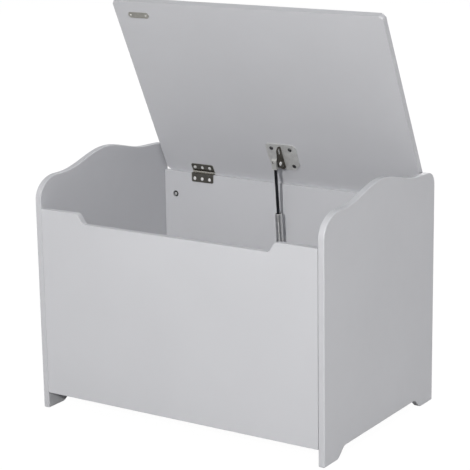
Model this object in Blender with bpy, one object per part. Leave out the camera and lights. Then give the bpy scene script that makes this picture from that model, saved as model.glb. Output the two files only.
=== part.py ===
"""Toy box with a lid on two hinges, held open by one strut.

Metres, +Z up. The origin is the centre of the carcass at floor level, +X is the
right end as seen from the front, and +Y points to the back. The lid stands open,
at the stop where the strut is fully out.
"""

from math import atan2, cos, hypot, pi, radians, sin

import bmesh
import bpy
from mathutils import Matrix, Vector

# Driving dimensions of the carcass
WIDTH = 0.600
DEPTH = 0.400
BOARD = 0.012
TOUCH = 0.0003
PANEL_TOP = 0.379
PANEL_FOOT = 0.030
NOTCH_DEPTH = 0.018
NOTCH_HALF_TOP = 0.209
NOTCH_HALF_FLOOR = 0.190
FLOOR_PANEL_Z = 0.045
FLOOR_BOARD = 0.009
GROOVE_DEPTH = 0.005

# Side panel outline: distances from the front edge, heights from the floor
SHOULDER_Z = 0.434
SHOULDER_RADII = (0.052, 0.040)
SHOULDER_FLAT_END = 0.068
HUMP = (0.203, 0.459)
DIP = (0.335, 0.437)
REAR_SHOULDER_Z = 0.435
REAR_RADIUS = 0.024
FOOT_LENGTH = 0.043
FOOT_CURVE = 0.031
ARCH_HEIGHT = 0.018

# Lid and its hinge axis
AXIS_Y = 0.194
AXIS_Z = 0.382
LID_OPEN = 64.2
LID_REACH = 0.387
LID_TAIL = 0.003
LID_RISE = 0.0005
LID_SIDE_GAP = 0.004
LID_CORNER = 0.007

# Hinges
HINGE_X = 0.197
HINGE_LENGTH = 0.050
LEAF = 0.0012
LEAF_DROP = 0.0165
LEAF_REACH = 0.019
KNUCKLE_R = 0.0026
HINGE_PIN_R = 0.0013
KNUCKLES = 5
HINGE_SCREW_PITCH = 0.017

# Strut: the anchors' places beside the lid and on the back panel
ANCHOR_REACH = 0.056
ANCHOR_DROP = 0.0155
FOOT_PIVOT_Y = 0.179
FOOT_PIVOT_Z = 0.188
STRUT_X = -0.0105
TUBE_R = 0.007
TUBE_WALL = 0.0012
TUBE_START = 0.014
TUBE_END = 0.1395
ROD_R = 0.0031
ROD_INNER_END = 0.122
GUIDE_LENGTH = 0.009
PISTON_LENGTH = 0.007
END_WIDTH = 0.0106
END_CHEEK = 0.0045
ROD_END_FOOT = 0.012
ROD_SOCKET = 0.0055
ROD_END_NOSE = 0.0045

# Brackets
PLATE = 0.0015
PLATE_HALF = (0.0325, 0.0290)
PLATE_CHAMFERS = (0.0050, 0.0125)
PLATE_REACH = 0.061
SLOT_OFFSET = (0.020, 0.0190)
LUG = 0.002
PIVOT_PIN_R = 0.0025
PIVOT_HEAD_R = 0.004

# Screws and their pilot holes
SCREW_R = 0.0015
HINGE_SCREW_HEAD_R = 0.0033
BRACKET_SCREW_HEAD_R = 0.0040
SCREW_LENGTH = 0.0105
PILOT_R = SCREW_R + TOUCH
PILOT_DEPTH = 0.0095
RIVET_HOLE_R = 0.0013
RIVET_DEPTH = 0.005
LEAF_HOLE_R = 0.0021

# Label plate
LABEL_AT = (-0.232, 0.358)
LABEL_HALF = (0.0235, 0.006)
LABEL_THICKNESS = 0.0008
LABEL_RIVET_X = 0.0165

# Knock-down fittings
CAM_X = 0.262
CAM_R = 0.006
CAM_DEPTH = 0.0095
BOLT_R = 0.0025
BOLT_NECK_R = 0.0015
CAM_HEIGHTS = (0.105, 0.333)

FRONT_Y = -DEPTH / 2
BACK_Y = DEPTH / 2
SIDE_IN = WIDTH / 2 - BOARD
PANEL_HALF = SIDE_IN - TOUCH
LID_HALF = SIDE_IN - LID_SIDE_GAP
BACK_FACE = BACK_Y - BOARD
ROUND = 16
X, Y, Z = Vector((1, 0, 0)), Vector((0, 1, 0)), Vector((0, 0, 1))


def clear_scene():
    for item in list(bpy.data.objects):
        bpy.data.objects.remove(item, do_unlink=True)


def material(name, colour, roughness, metallic=0.0):
    result = bpy.data.materials.new(name)
    result.use_nodes = True
    shader = result.node_tree.nodes["Principled BSDF"]
    shader.inputs["Base Color"].default_value = (*colour, 1.0)
    shader.inputs["Roughness"].default_value = roughness
    shader.inputs["Metallic"].default_value = metallic
    return result


def place(name, bm, parent=None, look=None, smooth_angle=30.0):
    """Turn a bmesh into a named object; one without a look is a hidden cutter."""
    bmesh.ops.recalc_face_normals(bm, faces=bm.faces)
    mesh = bpy.data.meshes.new(name)
    bm.to_mesh(mesh)
    bm.free()
    mesh.shade_smooth()
    mesh.set_sharp_from_angle(angle=radians(smooth_angle))
    item = bpy.data.objects.new(name, mesh)
    bpy.context.collection.objects.link(item)
    item.parent = parent
    if look is None:
        item.hide_render = True
        item.display_type = "WIRE"
    else:
        mesh.materials.append(look)
    return item


def boolean(item, bm, operation="DIFFERENCE"):
    """Cut or join the shape in bm, given in the item's own coordinates."""
    tool = place(f"cutter_{item.name}_{len(item.modifiers)}", bm, item.parent)
    step = item.modifiers.new(operation.lower(), "BOOLEAN")
    step.object = tool
    step.operation = operation
    step.solver = "EXACT"


def frame_to(origin, along, across):
    """Matrix whose local Z runs along one direction and local X across it."""
    along = Vector(along).normalized()
    across = Vector(across).normalized()
    up = along.cross(across)
    turn = Matrix((across, up, along)).transposed().to_4x4()
    return Matrix.Translation(origin) @ turn


def add_prism(bm, outline, matrix, depth):
    """Extrude a flat outline along the matrix's local Z."""
    low = [bm.verts.new(matrix @ Vector((a, b, 0.0))) for a, b in outline]
    high = [bm.verts.new(matrix @ Vector((a, b, depth))) for a, b in outline]
    count = len(outline)
    bm.faces.new(list(reversed(low)))
    bm.faces.new(high)
    for i in range(count):
        j = (i + 1) % count
        bm.faces.new((low[i], low[j], high[j], high[i]))


def add_box(bm, low, high):
    outline = [(low[0], low[1]), (high[0], low[1]), (high[0], high[1]), (low[0], high[1])]
    add_prism(bm, outline, Matrix.Translation((0, 0, low[2])), high[2] - low[2])


def add_turned(bm, profile, matrix, segments=ROUND):
    """Revolve (radius, height) points about the matrix's local Z."""
    rings = []
    for radius, height in profile:
        if radius == 0.0:
            rings.append([bm.verts.new(matrix @ Vector((0, 0, height)))])
            continue
        ring = []
        for i in range(segments):
            angle = 2 * pi * i / segments
            point = Vector((radius * cos(angle), radius * sin(angle), height))
            ring.append(bm.verts.new(matrix @ point))
        rings.append(ring)
    for below, above in zip(rings, rings[1:]):
        for i in range(segments):
            j = (i + 1) % segments
            corners = [below[i % len(below)], below[j % len(below)]]
            corners += [above[j % len(above)], above[i % len(above)]]
            unique = list(dict.fromkeys(corners))
            if len(unique) > 2:
                bm.faces.new(unique)
    for ring in (rings[0], rings[-1]):
        if len(ring) > 1:
            bm.faces.new(ring)


def add_cylinder(bm, start, end, radius, segments=ROUND):
    run = Vector(end) - Vector(start)
    across = X if abs(run.normalized().x) < 0.5 else Y
    matrix = frame_to(start, run, across - across.project(run))
    add_turned(bm, [(radius, 0.0), (radius, run.length)], matrix, segments)


def add_tube(bm, start, end, outer, inner, segments=ROUND):
    """A pipe with both ends open."""
    run = Vector(end) - Vector(start)
    across = X if abs(run.normalized().x) < 0.5 else Y
    matrix = frame_to(start, run, across - across.project(run))
    rings = []
    for radius, height in ((outer, 0), (outer, run.length), (inner, run.length), (inner, 0)):
        ring = []
        for i in range(segments):
            angle = 2 * pi * i / segments
            point = Vector((radius * cos(angle), radius * sin(angle), height))
            ring.append(bm.verts.new(matrix @ point))
        rings.append(ring)
    for k in range(4):
        here, following = rings[k], rings[(k + 1) % 4]
        for i in range(segments):
            j = (i + 1) % segments
            bm.faces.new((here[i], here[j], following[j], following[i]))


def arc(centre, radii, start, end, steps):
    """Points on an ellipse arc, angles in degrees, both ends included."""
    points = []
    for i in range(steps + 1):
        angle = radians(start + (end - start) * i / steps)
        points.append((centre[0] + radii[0] * cos(angle), centre[1] + radii[1] * sin(angle)))
    return points


def ogee(start, end, steps):
    """Half a cosine wave from one point to the other, both ends included."""
    points = []
    for i in range(steps + 1):
        share = i / steps
        rise = (1 - cos(pi * share)) / 2
        points.append((start[0] + (end[0] - start[0]) * share, start[1] + (end[1] - start[1]) * rise))
    return points


def rounded_rectangle(half_a, half_b, radius, steps=4):
    points = []
    for sign_a, sign_b, start in ((1, 1, 0), (-1, 1, 90), (-1, -1, 180), (1, -1, 270)):
        centre = (sign_a * (half_a - radius), sign_b * (half_b - radius))
        points += arc(centre, (radius, radius), start, start + 90, steps)
    return points


def chamfered_rectangle(half_a, half_b, cuts):
    """The first cut is for the two corners at +b and the second for those at -b."""
    corners = []
    for sign_a, sign_b in ((1, 1), (-1, 1), (-1, -1), (1, -1)):
        cut = cuts[0] if sign_b > 0 else cuts[1]
        near_a = (sign_a * half_a, sign_b * (half_b - cut))
        near_b = (sign_a * (half_a - cut), sign_b * half_b)
        corners += [near_a, near_b] if sign_a * sign_b > 0 else [near_b, near_a]
    return corners


def hull(points):
    """Convex outline round the points, anticlockwise."""
    ordered = sorted(set(points))

    def half(run):
        chain = []
        for point in run:
            while len(chain) > 1:
                (ax, ay), (bx, by) = chain[-2], chain[-1]
                if (bx - ax) * (point[1] - ay) - (by - ay) * (point[0] - ax) > 1e-12:
                    break
                chain.pop()
            chain.append(point)
        return chain[:-1]

    return half(ordered) + half(reversed(ordered))


def circle(centre, radius, steps=ROUND):
    return arc(centre, (radius, radius), 0, 360, steps)[:-1]


def side_outline():
    """Side panel seen from the right: distance from the front edge, height."""
    rear = DEPTH
    points = [(0.0, 0.0)]
    shoulder = (SHOULDER_RADII[0], SHOULDER_Z - SHOULDER_RADII[1])
    points += arc(shoulder, SHOULDER_RADII, 180, 90, 8)
    points += ogee((SHOULDER_FLAT_END, SHOULDER_Z), HUMP, 10)
    points += ogee(HUMP, DIP, 10)[1:]
    corner = (rear - REAR_RADIUS, REAR_SHOULDER_Z - REAR_RADIUS)
    points += arc(corner, (REAR_RADIUS, REAR_RADIUS), 90, 0, 6)
    points.append((rear, 0.0))
    rear_foot = rear - FOOT_LENGTH
    points += ogee((rear_foot, 0.0), (rear_foot - FOOT_CURVE, ARCH_HEIGHT), 8)
    points += ogee((FOOT_LENGTH + FOOT_CURVE, ARCH_HEIGHT), (FOOT_LENGTH, 0.0), 8)
    return points


def side_panel(name, sign, look):
    low_x = SIDE_IN if sign > 0 else -WIDTH / 2
    bm = bmesh.new()
    outline = [(FRONT_Y + d, z) for d, z in side_outline()]
    add_prism(bm, outline, frame_to((low_x, 0, 0), X, Y), BOARD)
    panel = place(name, bm, look=look)
    cuts = bmesh.new()
    outside, bottom = sign * (SIDE_IN - 0.001), sign * (SIDE_IN + 0.009)
    for y in (FRONT_Y + BOARD / 2, BACK_Y - BOARD / 2):
        for z in CAM_HEIGHTS:
            add_cylinder(cuts, (outside, y, z), (bottom, y, z), BOLT_R + TOUCH)
    groove_x = sorted((outside, sign * (SIDE_IN + GROOVE_DEPTH)))
    run = BACK_FACE + GROOVE_DEPTH
    low = (groove_x[0], -run, FLOOR_PANEL_Z)
    add_box(cuts, low, (groove_x[1], run, FLOOR_PANEL_Z + FLOOR_BOARD + 2 * TOUCH))
    boolean(panel, cuts)


def front_outline():
    points = [(-PANEL_HALF, PANEL_FOOT), (PANEL_HALF, PANEL_FOOT), (PANEL_HALF, PANEL_TOP)]
    floor = PANEL_TOP - NOTCH_DEPTH
    points += ogee((NOTCH_HALF_TOP, PANEL_TOP), (NOTCH_HALF_FLOOR, floor), 8)
    points += ogee((-NOTCH_HALF_FLOOR, floor), (-NOTCH_HALF_TOP, PANEL_TOP), 8)
    points.append((-PANEL_HALF, PANEL_TOP))
    return points


def upright_cuts(panel, y_centre, face, inward):
    """Cam pockets, bolt bores and the floor groove in the front or back panel."""
    pockets, bores, groove = bmesh.new(), bmesh.new(), bmesh.new()
    for sign in (-1, 1):
        cam, end = sign * CAM_X, sign * (PANEL_HALF + 0.001)
        for z in CAM_HEIGHTS:
            mouth = (cam, face + inward * 0.001, z)
            blind_end = (cam, face - inward * (CAM_DEPTH + TOUCH), z)
            add_cylinder(pockets, mouth, blind_end, CAM_R + TOUCH)
            add_cylinder(bores, (end, y_centre, z), (cam, y_centre, z), BOLT_R + TOUCH)
    y_range = sorted((face + inward * 0.001, face - inward * GROOVE_DEPTH))
    reach = PANEL_HALF + 0.001
    top = FLOOR_PANEL_Z + FLOOR_BOARD + 2 * TOUCH
    add_box(groove, (-reach, y_range[0], FLOOR_PANEL_Z), (reach, y_range[1], top))
    for cuts in (pockets, bores, groove):
        boolean(panel, cuts)


def front_panel(look):
    bm = bmesh.new()
    add_prism(bm, front_outline(), frame_to((0, FRONT_Y + BOARD, 0), -Y, X), BOARD)
    panel = place("front_panel", bm, look=look)
    upright_cuts(panel, FRONT_Y + BOARD / 2, FRONT_Y + BOARD, 1)


def back_panel(look):
    bm = bmesh.new()
    add_box(bm, (-PANEL_HALF, BACK_FACE, PANEL_FOOT), (PANEL_HALF, BACK_Y, PANEL_TOP))
    panel = place("back_panel", bm, look=look)
    upright_cuts(panel, BACK_Y - BOARD / 2, BACK_FACE, -1)
    screws = bmesh.new()
    for x, z in hinge_body_screw_places() + body_bracket_screw_places():
        start, end = (x, BACK_FACE - 0.001, z), (x, BACK_FACE + PILOT_DEPTH, z)
        add_cylinder(screws, start, end, PILOT_R, 12)
    boolean(panel, screws)


def bottom_panel(look):
    """The floor panel, held in a groove round all four sides."""
    tongue = GROOVE_DEPTH - TOUCH
    half_x, half_y = SIDE_IN + tongue, BACK_FACE + tongue
    low_z = FLOOR_PANEL_Z + TOUCH
    bm = bmesh.new()
    add_box(bm, (-half_x, -half_y, low_z), (half_x, half_y, low_z + FLOOR_BOARD))
    place("bottom_panel", bm, look=look)


def fittings(looks):
    """A cam in the panel's inner face and its bolt in the side, at each corner."""
    rows = (("front", FRONT_Y + BOARD / 2, Y), ("back", BACK_Y - BOARD / 2, -Y))
    for label, y_centre, outward in rows:
        count = 0
        for sign in (-1, 1):
            for z in CAM_HEIGHTS:
                count += 1
                centre = (sign * CAM_X, y_centre, z)
                cam_lock(f"{label}_cam_{count}", centre, outward, sign, looks["zinc"])
                cam_bolt(f"{label}_cam_bolt_{count}", y_centre, z, sign, looks["steel"])


def cam_lock(name, centre, outward, sign, look):
    """A cam disc, hollow on the side where the bolt's head goes in."""
    base = Vector(centre) + outward * (BOARD / 2 - CAM_DEPTH)
    chamfer = 0.0006
    profile = [(CAM_R, 0.0), (CAM_R, CAM_DEPTH - chamfer), (CAM_R - chamfer, CAM_DEPTH)]
    bm = bmesh.new()
    add_turned(bm, profile, frame_to(base, outward, X))
    cam = place(name, bm, look=look)
    mouth = bmesh.new()
    start = Vector(centre) + X * sign * (CAM_R + 0.001)
    add_cylinder(mouth, start, Vector(centre) - X * sign * 0.002, BOLT_R + TOUCH, 12)
    boolean(cam, mouth)


def cam_bolt(name, y, z, sign, look):
    """Thread in the side panel, shank in the panel's end, neck and head in the cam."""
    start = sign * (SIDE_IN + 0.0085)
    run = abs(start) - CAM_X + 0.0010
    neck, head = run - 0.0065, run - 0.0025
    profile = [(BOLT_R, 0.0), (BOLT_R, neck), (BOLT_NECK_R, neck + 0.0005)]
    profile += [(BOLT_NECK_R, head), (BOLT_R - 0.0002, head + 0.0005), (BOLT_R - 0.0002, run)]
    bm = bmesh.new()
    add_turned(bm, profile, frame_to((start, y, z), -sign * X, Y), 12)
    place(name, bm, look=look)


def lid_panel(axis, look):
    """The lid lies in its closed position in the hinge axis's own frame."""
    bm = bmesh.new()
    half_run = (LID_REACH + LID_TAIL) / 2
    centre = (0, LID_TAIL - half_run, LID_RISE)
    outline = rounded_rectangle(LID_HALF, half_run, LID_CORNER)
    add_prism(bm, outline, Matrix.Translation(centre), BOARD)
    panel = place("lid_panel", bm, axis, look)
    pockets = bmesh.new()
    clearance = 0.0006
    for sign in (-1, 1):
        half = HINGE_LENGTH / 2 + clearance
        low = (sign * HINGE_X - half, -KNUCKLE_R - clearance, LID_RISE - 0.001)
        high = (sign * HINGE_X + half, LID_TAIL + 0.001, KNUCKLE_R + clearance)
        add_box(pockets, low, high)
    boolean(panel, pockets)
    screws = bmesh.new()
    for x, y in hinge_lid_screw_places() + lid_bracket_screw_places():
        start, end = (x, y, LID_RISE - 0.001), (x, y, LID_RISE + PILOT_DEPTH)
        add_cylinder(screws, start, end, PILOT_R, 12)
    for sign in (-1, 1):
        x = LABEL_AT[0] + sign * LABEL_RIVET_X
        low = (x, -LABEL_AT[1], LID_RISE - 0.001)
        high = (x, -LABEL_AT[1], LID_RISE + RIVET_DEPTH + 0.0005)
        add_cylinder(screws, low, high, RIVET_HOLE_R)
    boolean(panel, screws)


def hinge_body_screw_places():
    z = PANEL_TOP - 0.0095
    return [(s * HINGE_X + k * HINGE_SCREW_PITCH, z) for s in (-1, 1) for k in (-1, 0, 1)]


def hinge_lid_screw_places():
    return [(s * HINGE_X + k * HINGE_SCREW_PITCH, -0.0118) for s in (-1, 1) for k in (-1, 0, 1)]


def lid_bracket_screw_places():
    a, b = SLOT_OFFSET
    return [(i * a, -PLATE_REACH + j * b) for i in (-1, 1) for j in (-1, 1)]


def body_bracket_screw_places():
    a, b = SLOT_OFFSET
    return [(i * a, FOOT_PIVOT_Z + j * b) for i in (-1, 1) for j in (-1, 1)]


def knuckles(bm, centre_x, first, offset):
    """Every second knuckle of a hinge, from the one numbered first."""
    pitch = HINGE_LENGTH / KNUCKLES
    start = centre_x - HINGE_LENGTH / 2
    for k in range(first, KNUCKLES, 2):
        low = start + k * pitch + 0.0002
        high = start + (k + 1) * pitch - 0.0002
        add_cylinder(bm, (low, *offset), (high, *offset), KNUCKLE_R)


def pin_bore(centre_x, offset):
    bore = bmesh.new()
    half = HINGE_LENGTH / 2 + 0.001
    start, end = (centre_x - half, *offset), (centre_x + half, *offset)
    add_cylinder(bore, start, end, HINGE_PIN_R + TOUCH, 12)
    return bore


def knuckle_gaps(centre_x, first, low_yz, high_yz):
    """Boxes that clear the other leaf's knuckles out of this leaf's edge."""
    bm = bmesh.new()
    pitch = HINGE_LENGTH / KNUCKLES
    start = centre_x - HINGE_LENGTH / 2
    for k in range(first, KNUCKLES, 2):
        low = start + k * pitch - 0.0002
        high = start + (k + 1) * pitch + 0.0002
        add_box(bm, (low, *low_yz), (high, *high_yz))
    return bm


def finish_leaf(leaf, centre_x, first, pivot, gaps, screw_holes):
    """Clear the other leaf's knuckles, then add this leaf's own, the bore and holes."""
    boolean(leaf, gaps)
    rolls = bmesh.new()
    knuckles(rolls, centre_x, first, pivot)
    boolean(leaf, rolls, "UNION")
    boolean(leaf, pin_bore(centre_x, pivot))
    boolean(leaf, screw_holes)


def hinge(label, centre_x, axis, looks):
    """Two leaves on a pin: one wraps over the back panel, one is under the lid."""
    half = HINGE_LENGTH / 2
    front = BACK_FACE - TOUCH - LEAF
    shelf = PANEL_TOP + TOUCH
    fold = 0.0008
    bm = bmesh.new()
    section = [
        (front, PANEL_TOP - LEAF_DROP),
        (front + LEAF, PANEL_TOP - LEAF_DROP),
        (front + LEAF, shelf),
        (AXIS_Y, shelf),
        (AXIS_Y, shelf + LEAF),
        (front + fold, shelf + LEAF),
        (front, shelf + LEAF - fold),
    ]
    add_prism(bm, section, frame_to((centre_x - half, 0, 0), X, Y), HINGE_LENGTH)
    leaf = place(f"{label}_hinge_fixed_leaf", bm, look=looks["nickel"])
    clear = KNUCKLE_R + TOUCH
    low_yz, high_yz = (AXIS_Y - clear, shelf - 0.001), (AXIS_Y + 0.001, AXIS_Z)
    holes = bmesh.new()
    for x, z in hinge_body_screw_places():
        if abs(x - centre_x) < half:
            add_cylinder(holes, (x, front - 0.001, z), (x, BACK_FACE, z), LEAF_HOLE_R, 12)
    gaps = knuckle_gaps(centre_x, 1, low_yz, high_yz)
    finish_leaf(leaf, centre_x, 0, (AXIS_Y, AXIS_Z), gaps, holes)

    bm = bmesh.new()
    top = LID_RISE - TOUCH
    add_box(bm, (centre_x - half, -LEAF_REACH, top - LEAF), (centre_x + half, 0.0, top))
    leaf = place(f"{label}_hinge_lid_leaf", bm, axis, looks["nickel"])
    low_yz, high_yz = (-clear, top - LEAF - 0.001), (0.001, top + 0.001)
    holes = bmesh.new()
    for x, y in hinge_lid_screw_places():
        if abs(x - centre_x) < half:
            low = (x, y, top - LEAF - 0.001)
            add_cylinder(holes, low, (x, y, top + 0.0002), LEAF_HOLE_R, 12)
    gaps = knuckle_gaps(centre_x, 0, low_yz, high_yz)
    finish_leaf(leaf, centre_x, 1, (0.0, 0.0), gaps, holes)

    bm = bmesh.new()
    start, end = (centre_x - half, AXIS_Y, AXIS_Z), (centre_x + half, AXIS_Y, AXIS_Z)
    add_cylinder(bm, start, end, HINGE_PIN_R, 12)
    place(f"{label}_hinge_pin", bm, look=looks["steel"])


def screw(name, seat, out, axis, head_r, look):
    """A pan-head screw; seat is the plate's face and out points off the board."""
    seat, out = Vector(seat), Vector(out)
    matrix = frame_to(seat - out * SCREW_LENGTH, out, X)
    top = SCREW_LENGTH + TOUCH
    profile = [(0.0004, 0.0), (SCREW_R, 0.002), (SCREW_R, top), (head_r, top)]
    profile += [(head_r, top + 0.0006), (head_r * 0.6, top + 0.0013)]
    bm = bmesh.new()
    add_turned(bm, profile, matrix, 12)
    place(name, bm, axis, look)


def screws(axis, looks):
    on_back = (
        ("hinge_body_screw", hinge_body_screw_places(), LEAF, HINGE_SCREW_HEAD_R),
        ("body_bracket_screw", body_bracket_screw_places(), PLATE, BRACKET_SCREW_HEAD_R),
    )
    for label, places, thickness, head_r in on_back:
        for count, (x, z) in enumerate(places, 1):
            seat = (x, BACK_FACE - TOUCH - thickness, z)
            screw(f"{label}_{count}", seat, -Y, None, head_r, looks["steel"])
    under_lid = (
        ("hinge_lid_screw", hinge_lid_screw_places(), LEAF, HINGE_SCREW_HEAD_R),
        ("lid_bracket_screw", lid_bracket_screw_places(), PLATE, BRACKET_SCREW_HEAD_R),
    )
    for label, places, thickness, head_r in under_lid:
        for count, (x, y) in enumerate(places, 1):
            seat = (x, y, LID_RISE - TOUCH - thickness)
            screw(f"{label}_{count}", seat, -Z, axis, head_r, looks["steel"])


def slot_outline(centre, half_length, radius):
    left = arc((centre[0] - half_length + radius, centre[1]), (radius, radius), 90, 270, 6)
    right = arc((centre[0] + half_length - radius, centre[1]), (radius, radius), -90, 90, 6)
    return left + right


def bracket(name, plate_frame, lug_frame, lug_outline, lug_holes, parent, look):
    """A chamfered plate with four slots and an upright lug on its free face."""
    bm = bmesh.new()
    add_prism(bm, chamfered_rectangle(*PLATE_HALF, PLATE_CHAMFERS), plate_frame, PLATE)
    item = place(name, bm, parent, look)
    lug = bmesh.new()
    add_prism(lug, lug_outline, lug_frame, LUG)
    boolean(item, lug, "UNION")
    cuts = bmesh.new()
    below = plate_frame @ Matrix.Translation((0, 0, -0.001))
    for i in (-1, 1):
        for j in (-1, 1):
            centre = (i * SLOT_OFFSET[0], j * SLOT_OFFSET[1])
            add_prism(cuts, slot_outline(centre, 0.0042, 0.0021), below, PLATE + 0.002)
    through = lug_frame @ Matrix.Translation((0, 0, -0.001))
    for outline in lug_holes:
        add_prism(cuts, outline, through, LUG + 0.002)
    boolean(item, cuts)


def lid_bracket(axis, looks):
    """In the lid's frame; the lug's outline is (reach from the axis, drop)."""
    face = LID_RISE - TOUCH
    plate_frame = frame_to((0, -PLATE_REACH, face), -Z, X)
    lug_frame = frame_to((-LUG / 2, 0, face), X, -Y)
    base = PLATE / 2
    pivot = (ANCHOR_REACH, ANCHOR_DROP + face)
    outline = hull(
        [(0.037, base), (0.084, base)]
        + circle((0.0435, 0.0075), 0.0055)
        + circle(pivot, 0.0075)
        + circle((0.0805, 0.0080), 0.0078)
    )
    holes = [
        circle(pivot, PIVOT_PIN_R + TOUCH),
        circle((0.0440, 0.0075), 0.0024, 12),
        slot_outline((0.0785, 0.0080), 0.0068, 0.0034),
    ]
    bracket("lid_bracket", plate_frame, lug_frame, outline, holes, axis, looks["nickel"])
    place_pin("lid_bracket_pin", -LUG / 2, -ANCHOR_REACH, -ANCHOR_DROP, axis, looks["steel"])


def place_pin(name, grip_start, y, z, axis, look):
    """A domed pin along X, headed on both sides of what it grips up to the lug."""
    gap, head = 0.0004, 0.0012
    start = grip_start - gap - head
    low, high = head, LUG / 2 + gap - start
    profile = [(PIVOT_HEAD_R, 0.0), (PIVOT_HEAD_R, low), (PIVOT_PIN_R, low)]
    profile += [(PIVOT_PIN_R, high), (PIVOT_HEAD_R, high), (PIVOT_HEAD_R, high + 0.0007)]
    profile.append((PIVOT_HEAD_R * 0.6, high + 0.0016))
    bm = bmesh.new()
    add_turned(bm, profile, frame_to((start, y, z), X, Y))
    place(name, bm, axis, look)


def body_bracket(looks):
    """On the back panel: the plate is upright and the lug points to the front."""
    face = BACK_FACE - TOUCH
    plate_frame = frame_to((0, face, FOOT_PIVOT_Z), -Y, X)
    lug_frame = frame_to((-LUG / 2, face, FOOT_PIVOT_Z), X, -Y)
    pivot = (face - FOOT_PIVOT_Y, 0.0)
    base = PLATE / 2
    outline = hull([(base, -0.021), (base, 0.021)] + circle(pivot, 0.0075))
    holes = [circle(pivot, PIVOT_PIN_R + TOUCH)]
    bracket("body_bracket", plate_frame, lug_frame, outline, holes, None, looks["nickel"])
    block_side = STRUT_X - END_WIDTH / 2
    place_pin("body_bracket_pin", block_side, FOOT_PIVOT_Y, FOOT_PIVOT_Z, None, looks["steel"])


def strut(axis, length, looks):
    """In the strut's frame: the foot pivot is the origin and +Z runs to the lid."""
    at = Vector((STRUT_X, 0, 0))
    upright = Matrix.Translation(at)
    inner = TUBE_R - TUBE_WALL
    bm = bmesh.new()
    profile = [(TUBE_R - 0.0006, TUBE_START), (TUBE_R, TUBE_START + 0.0006)]
    profile += [(TUBE_R, TUBE_END - 0.0014), (TUBE_R - 0.0007, TUBE_END)]
    add_turned(bm, profile, upright, 24)
    tube = place("strut_tube", bm, axis, looks["tube"])
    hollow = bmesh.new()
    floor = TUBE_START + 0.004
    add_cylinder(hollow, at + Z * floor, at + Z * (TUBE_END + 0.001), inner, 24)
    boolean(tube, hollow)

    top = TUBE_END - 0.0008
    bm = bmesh.new()
    add_tube(bm, at + Z * (top - GUIDE_LENGTH), at + Z * top, inner - TOUCH, ROD_R + TOUCH, 24)
    place("strut_rod_guide", bm, axis, looks["black"])

    bm = bmesh.new()
    piston_r = inner - TOUCH
    piston_end = ROD_INNER_END - PISTON_LENGTH
    profile = [(piston_r, piston_end), (piston_r, ROD_INNER_END), (ROD_R, ROD_INNER_END)]
    profile.append((ROD_R, length - ROD_SOCKET))
    add_turned(bm, profile, upright, 20)
    place("strut_rod", bm, axis, looks["rod"])

    tube_end(axis, looks["end"])
    rod_end(axis, length, looks["end"])


def end_block(name, outline, axis, look):
    bm = bmesh.new()
    half = END_WIDTH / 2
    add_prism(bm, outline, frame_to((STRUT_X - half, 0, 0), X, Y), END_WIDTH)
    return place(name, bm, axis, look)


def tube_end(axis, look):
    """Eye block at the tube's foot, turning on the body bracket's pin."""
    nose = arc((0.0, 0.0), (END_CHEEK, END_CHEEK), 180, 360, 8)
    top = TUBE_START - TOUCH
    outline = nose + [(END_CHEEK, top), (-END_CHEEK, top)]
    block = end_block("strut_tube_end", outline, axis, look)
    bore = bmesh.new()
    start, end = STRUT_X - END_WIDTH, STRUT_X + END_WIDTH
    add_cylinder(bore, (start, 0, 0), (end, 0, 0), PIVOT_PIN_R + TOUCH)
    boolean(block, bore)


def rod_end(axis, length, look):
    """Eye block on the rod, beside the lug; its pin hole is open to the left."""
    foot = length - ROD_END_FOOT
    nose = arc((0.0, length + ROD_END_NOSE), (END_CHEEK, END_CHEEK), 0, 180, 8)
    outline = [(-END_CHEEK, foot), (END_CHEEK, foot)] + nose
    block = end_block("strut_rod_end", outline, axis, look)
    cuts = bmesh.new()
    start = STRUT_X - END_WIDTH / 2 - 0.001
    add_cylinder(cuts, (start, 0, length), (start + 0.0040, 0, length), PIVOT_PIN_R)
    socket_top = Vector((STRUT_X, 0, length - ROD_SOCKET + TOUCH))
    add_cylinder(cuts, Vector((STRUT_X, 0, foot - 0.001)), socket_top, ROD_R + TOUCH, 20)
    boolean(block, cuts)


def label(axis, looks):
    """A blank plate with pointed round ends, held by two rivets."""
    face = LID_RISE - TOUCH
    half_a, half_b = LABEL_HALF
    outline = hull(
        [(half_a - 0.004, half_b), (half_a - 0.004, -half_b), (-half_a + 0.004, half_b)]
        + [(-half_a + 0.004, -half_b)]
        + circle((half_a - 0.0025, 0.0), 0.0025)
        + circle((-half_a + 0.0025, 0.0), 0.0025)
    )
    bm = bmesh.new()
    matrix = frame_to((LABEL_AT[0], -LABEL_AT[1], face), -Z, X)
    add_prism(bm, outline, matrix, LABEL_THICKNESS)
    plate = place("label_plate", bm, axis, looks["label"])
    holes = bmesh.new()
    for count, sign in enumerate((-1, 1), 1):
        x = LABEL_AT[0] + sign * LABEL_RIVET_X
        low = (x, -LABEL_AT[1], face - LABEL_THICKNESS - 0.001)
        add_cylinder(holes, low, (x, -LABEL_AT[1], face + 0.0002), RIVET_HOLE_R)
        matrix = frame_to((x, -LABEL_AT[1], face + RIVET_DEPTH), -Z, X)
        seat = RIVET_DEPTH + LABEL_THICKNESS + TOUCH
        profile = [(0.001, 0.0), (0.001, seat), (0.0021, seat), (0.0021, seat + 0.0003)]
        profile.append((0.0011, seat + 0.0008))
        rivet = bmesh.new()
        add_turned(rivet, profile, matrix, 12)
        place(f"label_rivet_{count}", rivet, axis, looks["steel"])
    boolean(plate, holes)


def empty(name, location, turn_x):
    item = bpy.data.objects.new(name, None)
    bpy.context.collection.objects.link(item)
    item.location = location
    item.rotation_euler = (turn_x, 0, 0)
    return item


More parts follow.
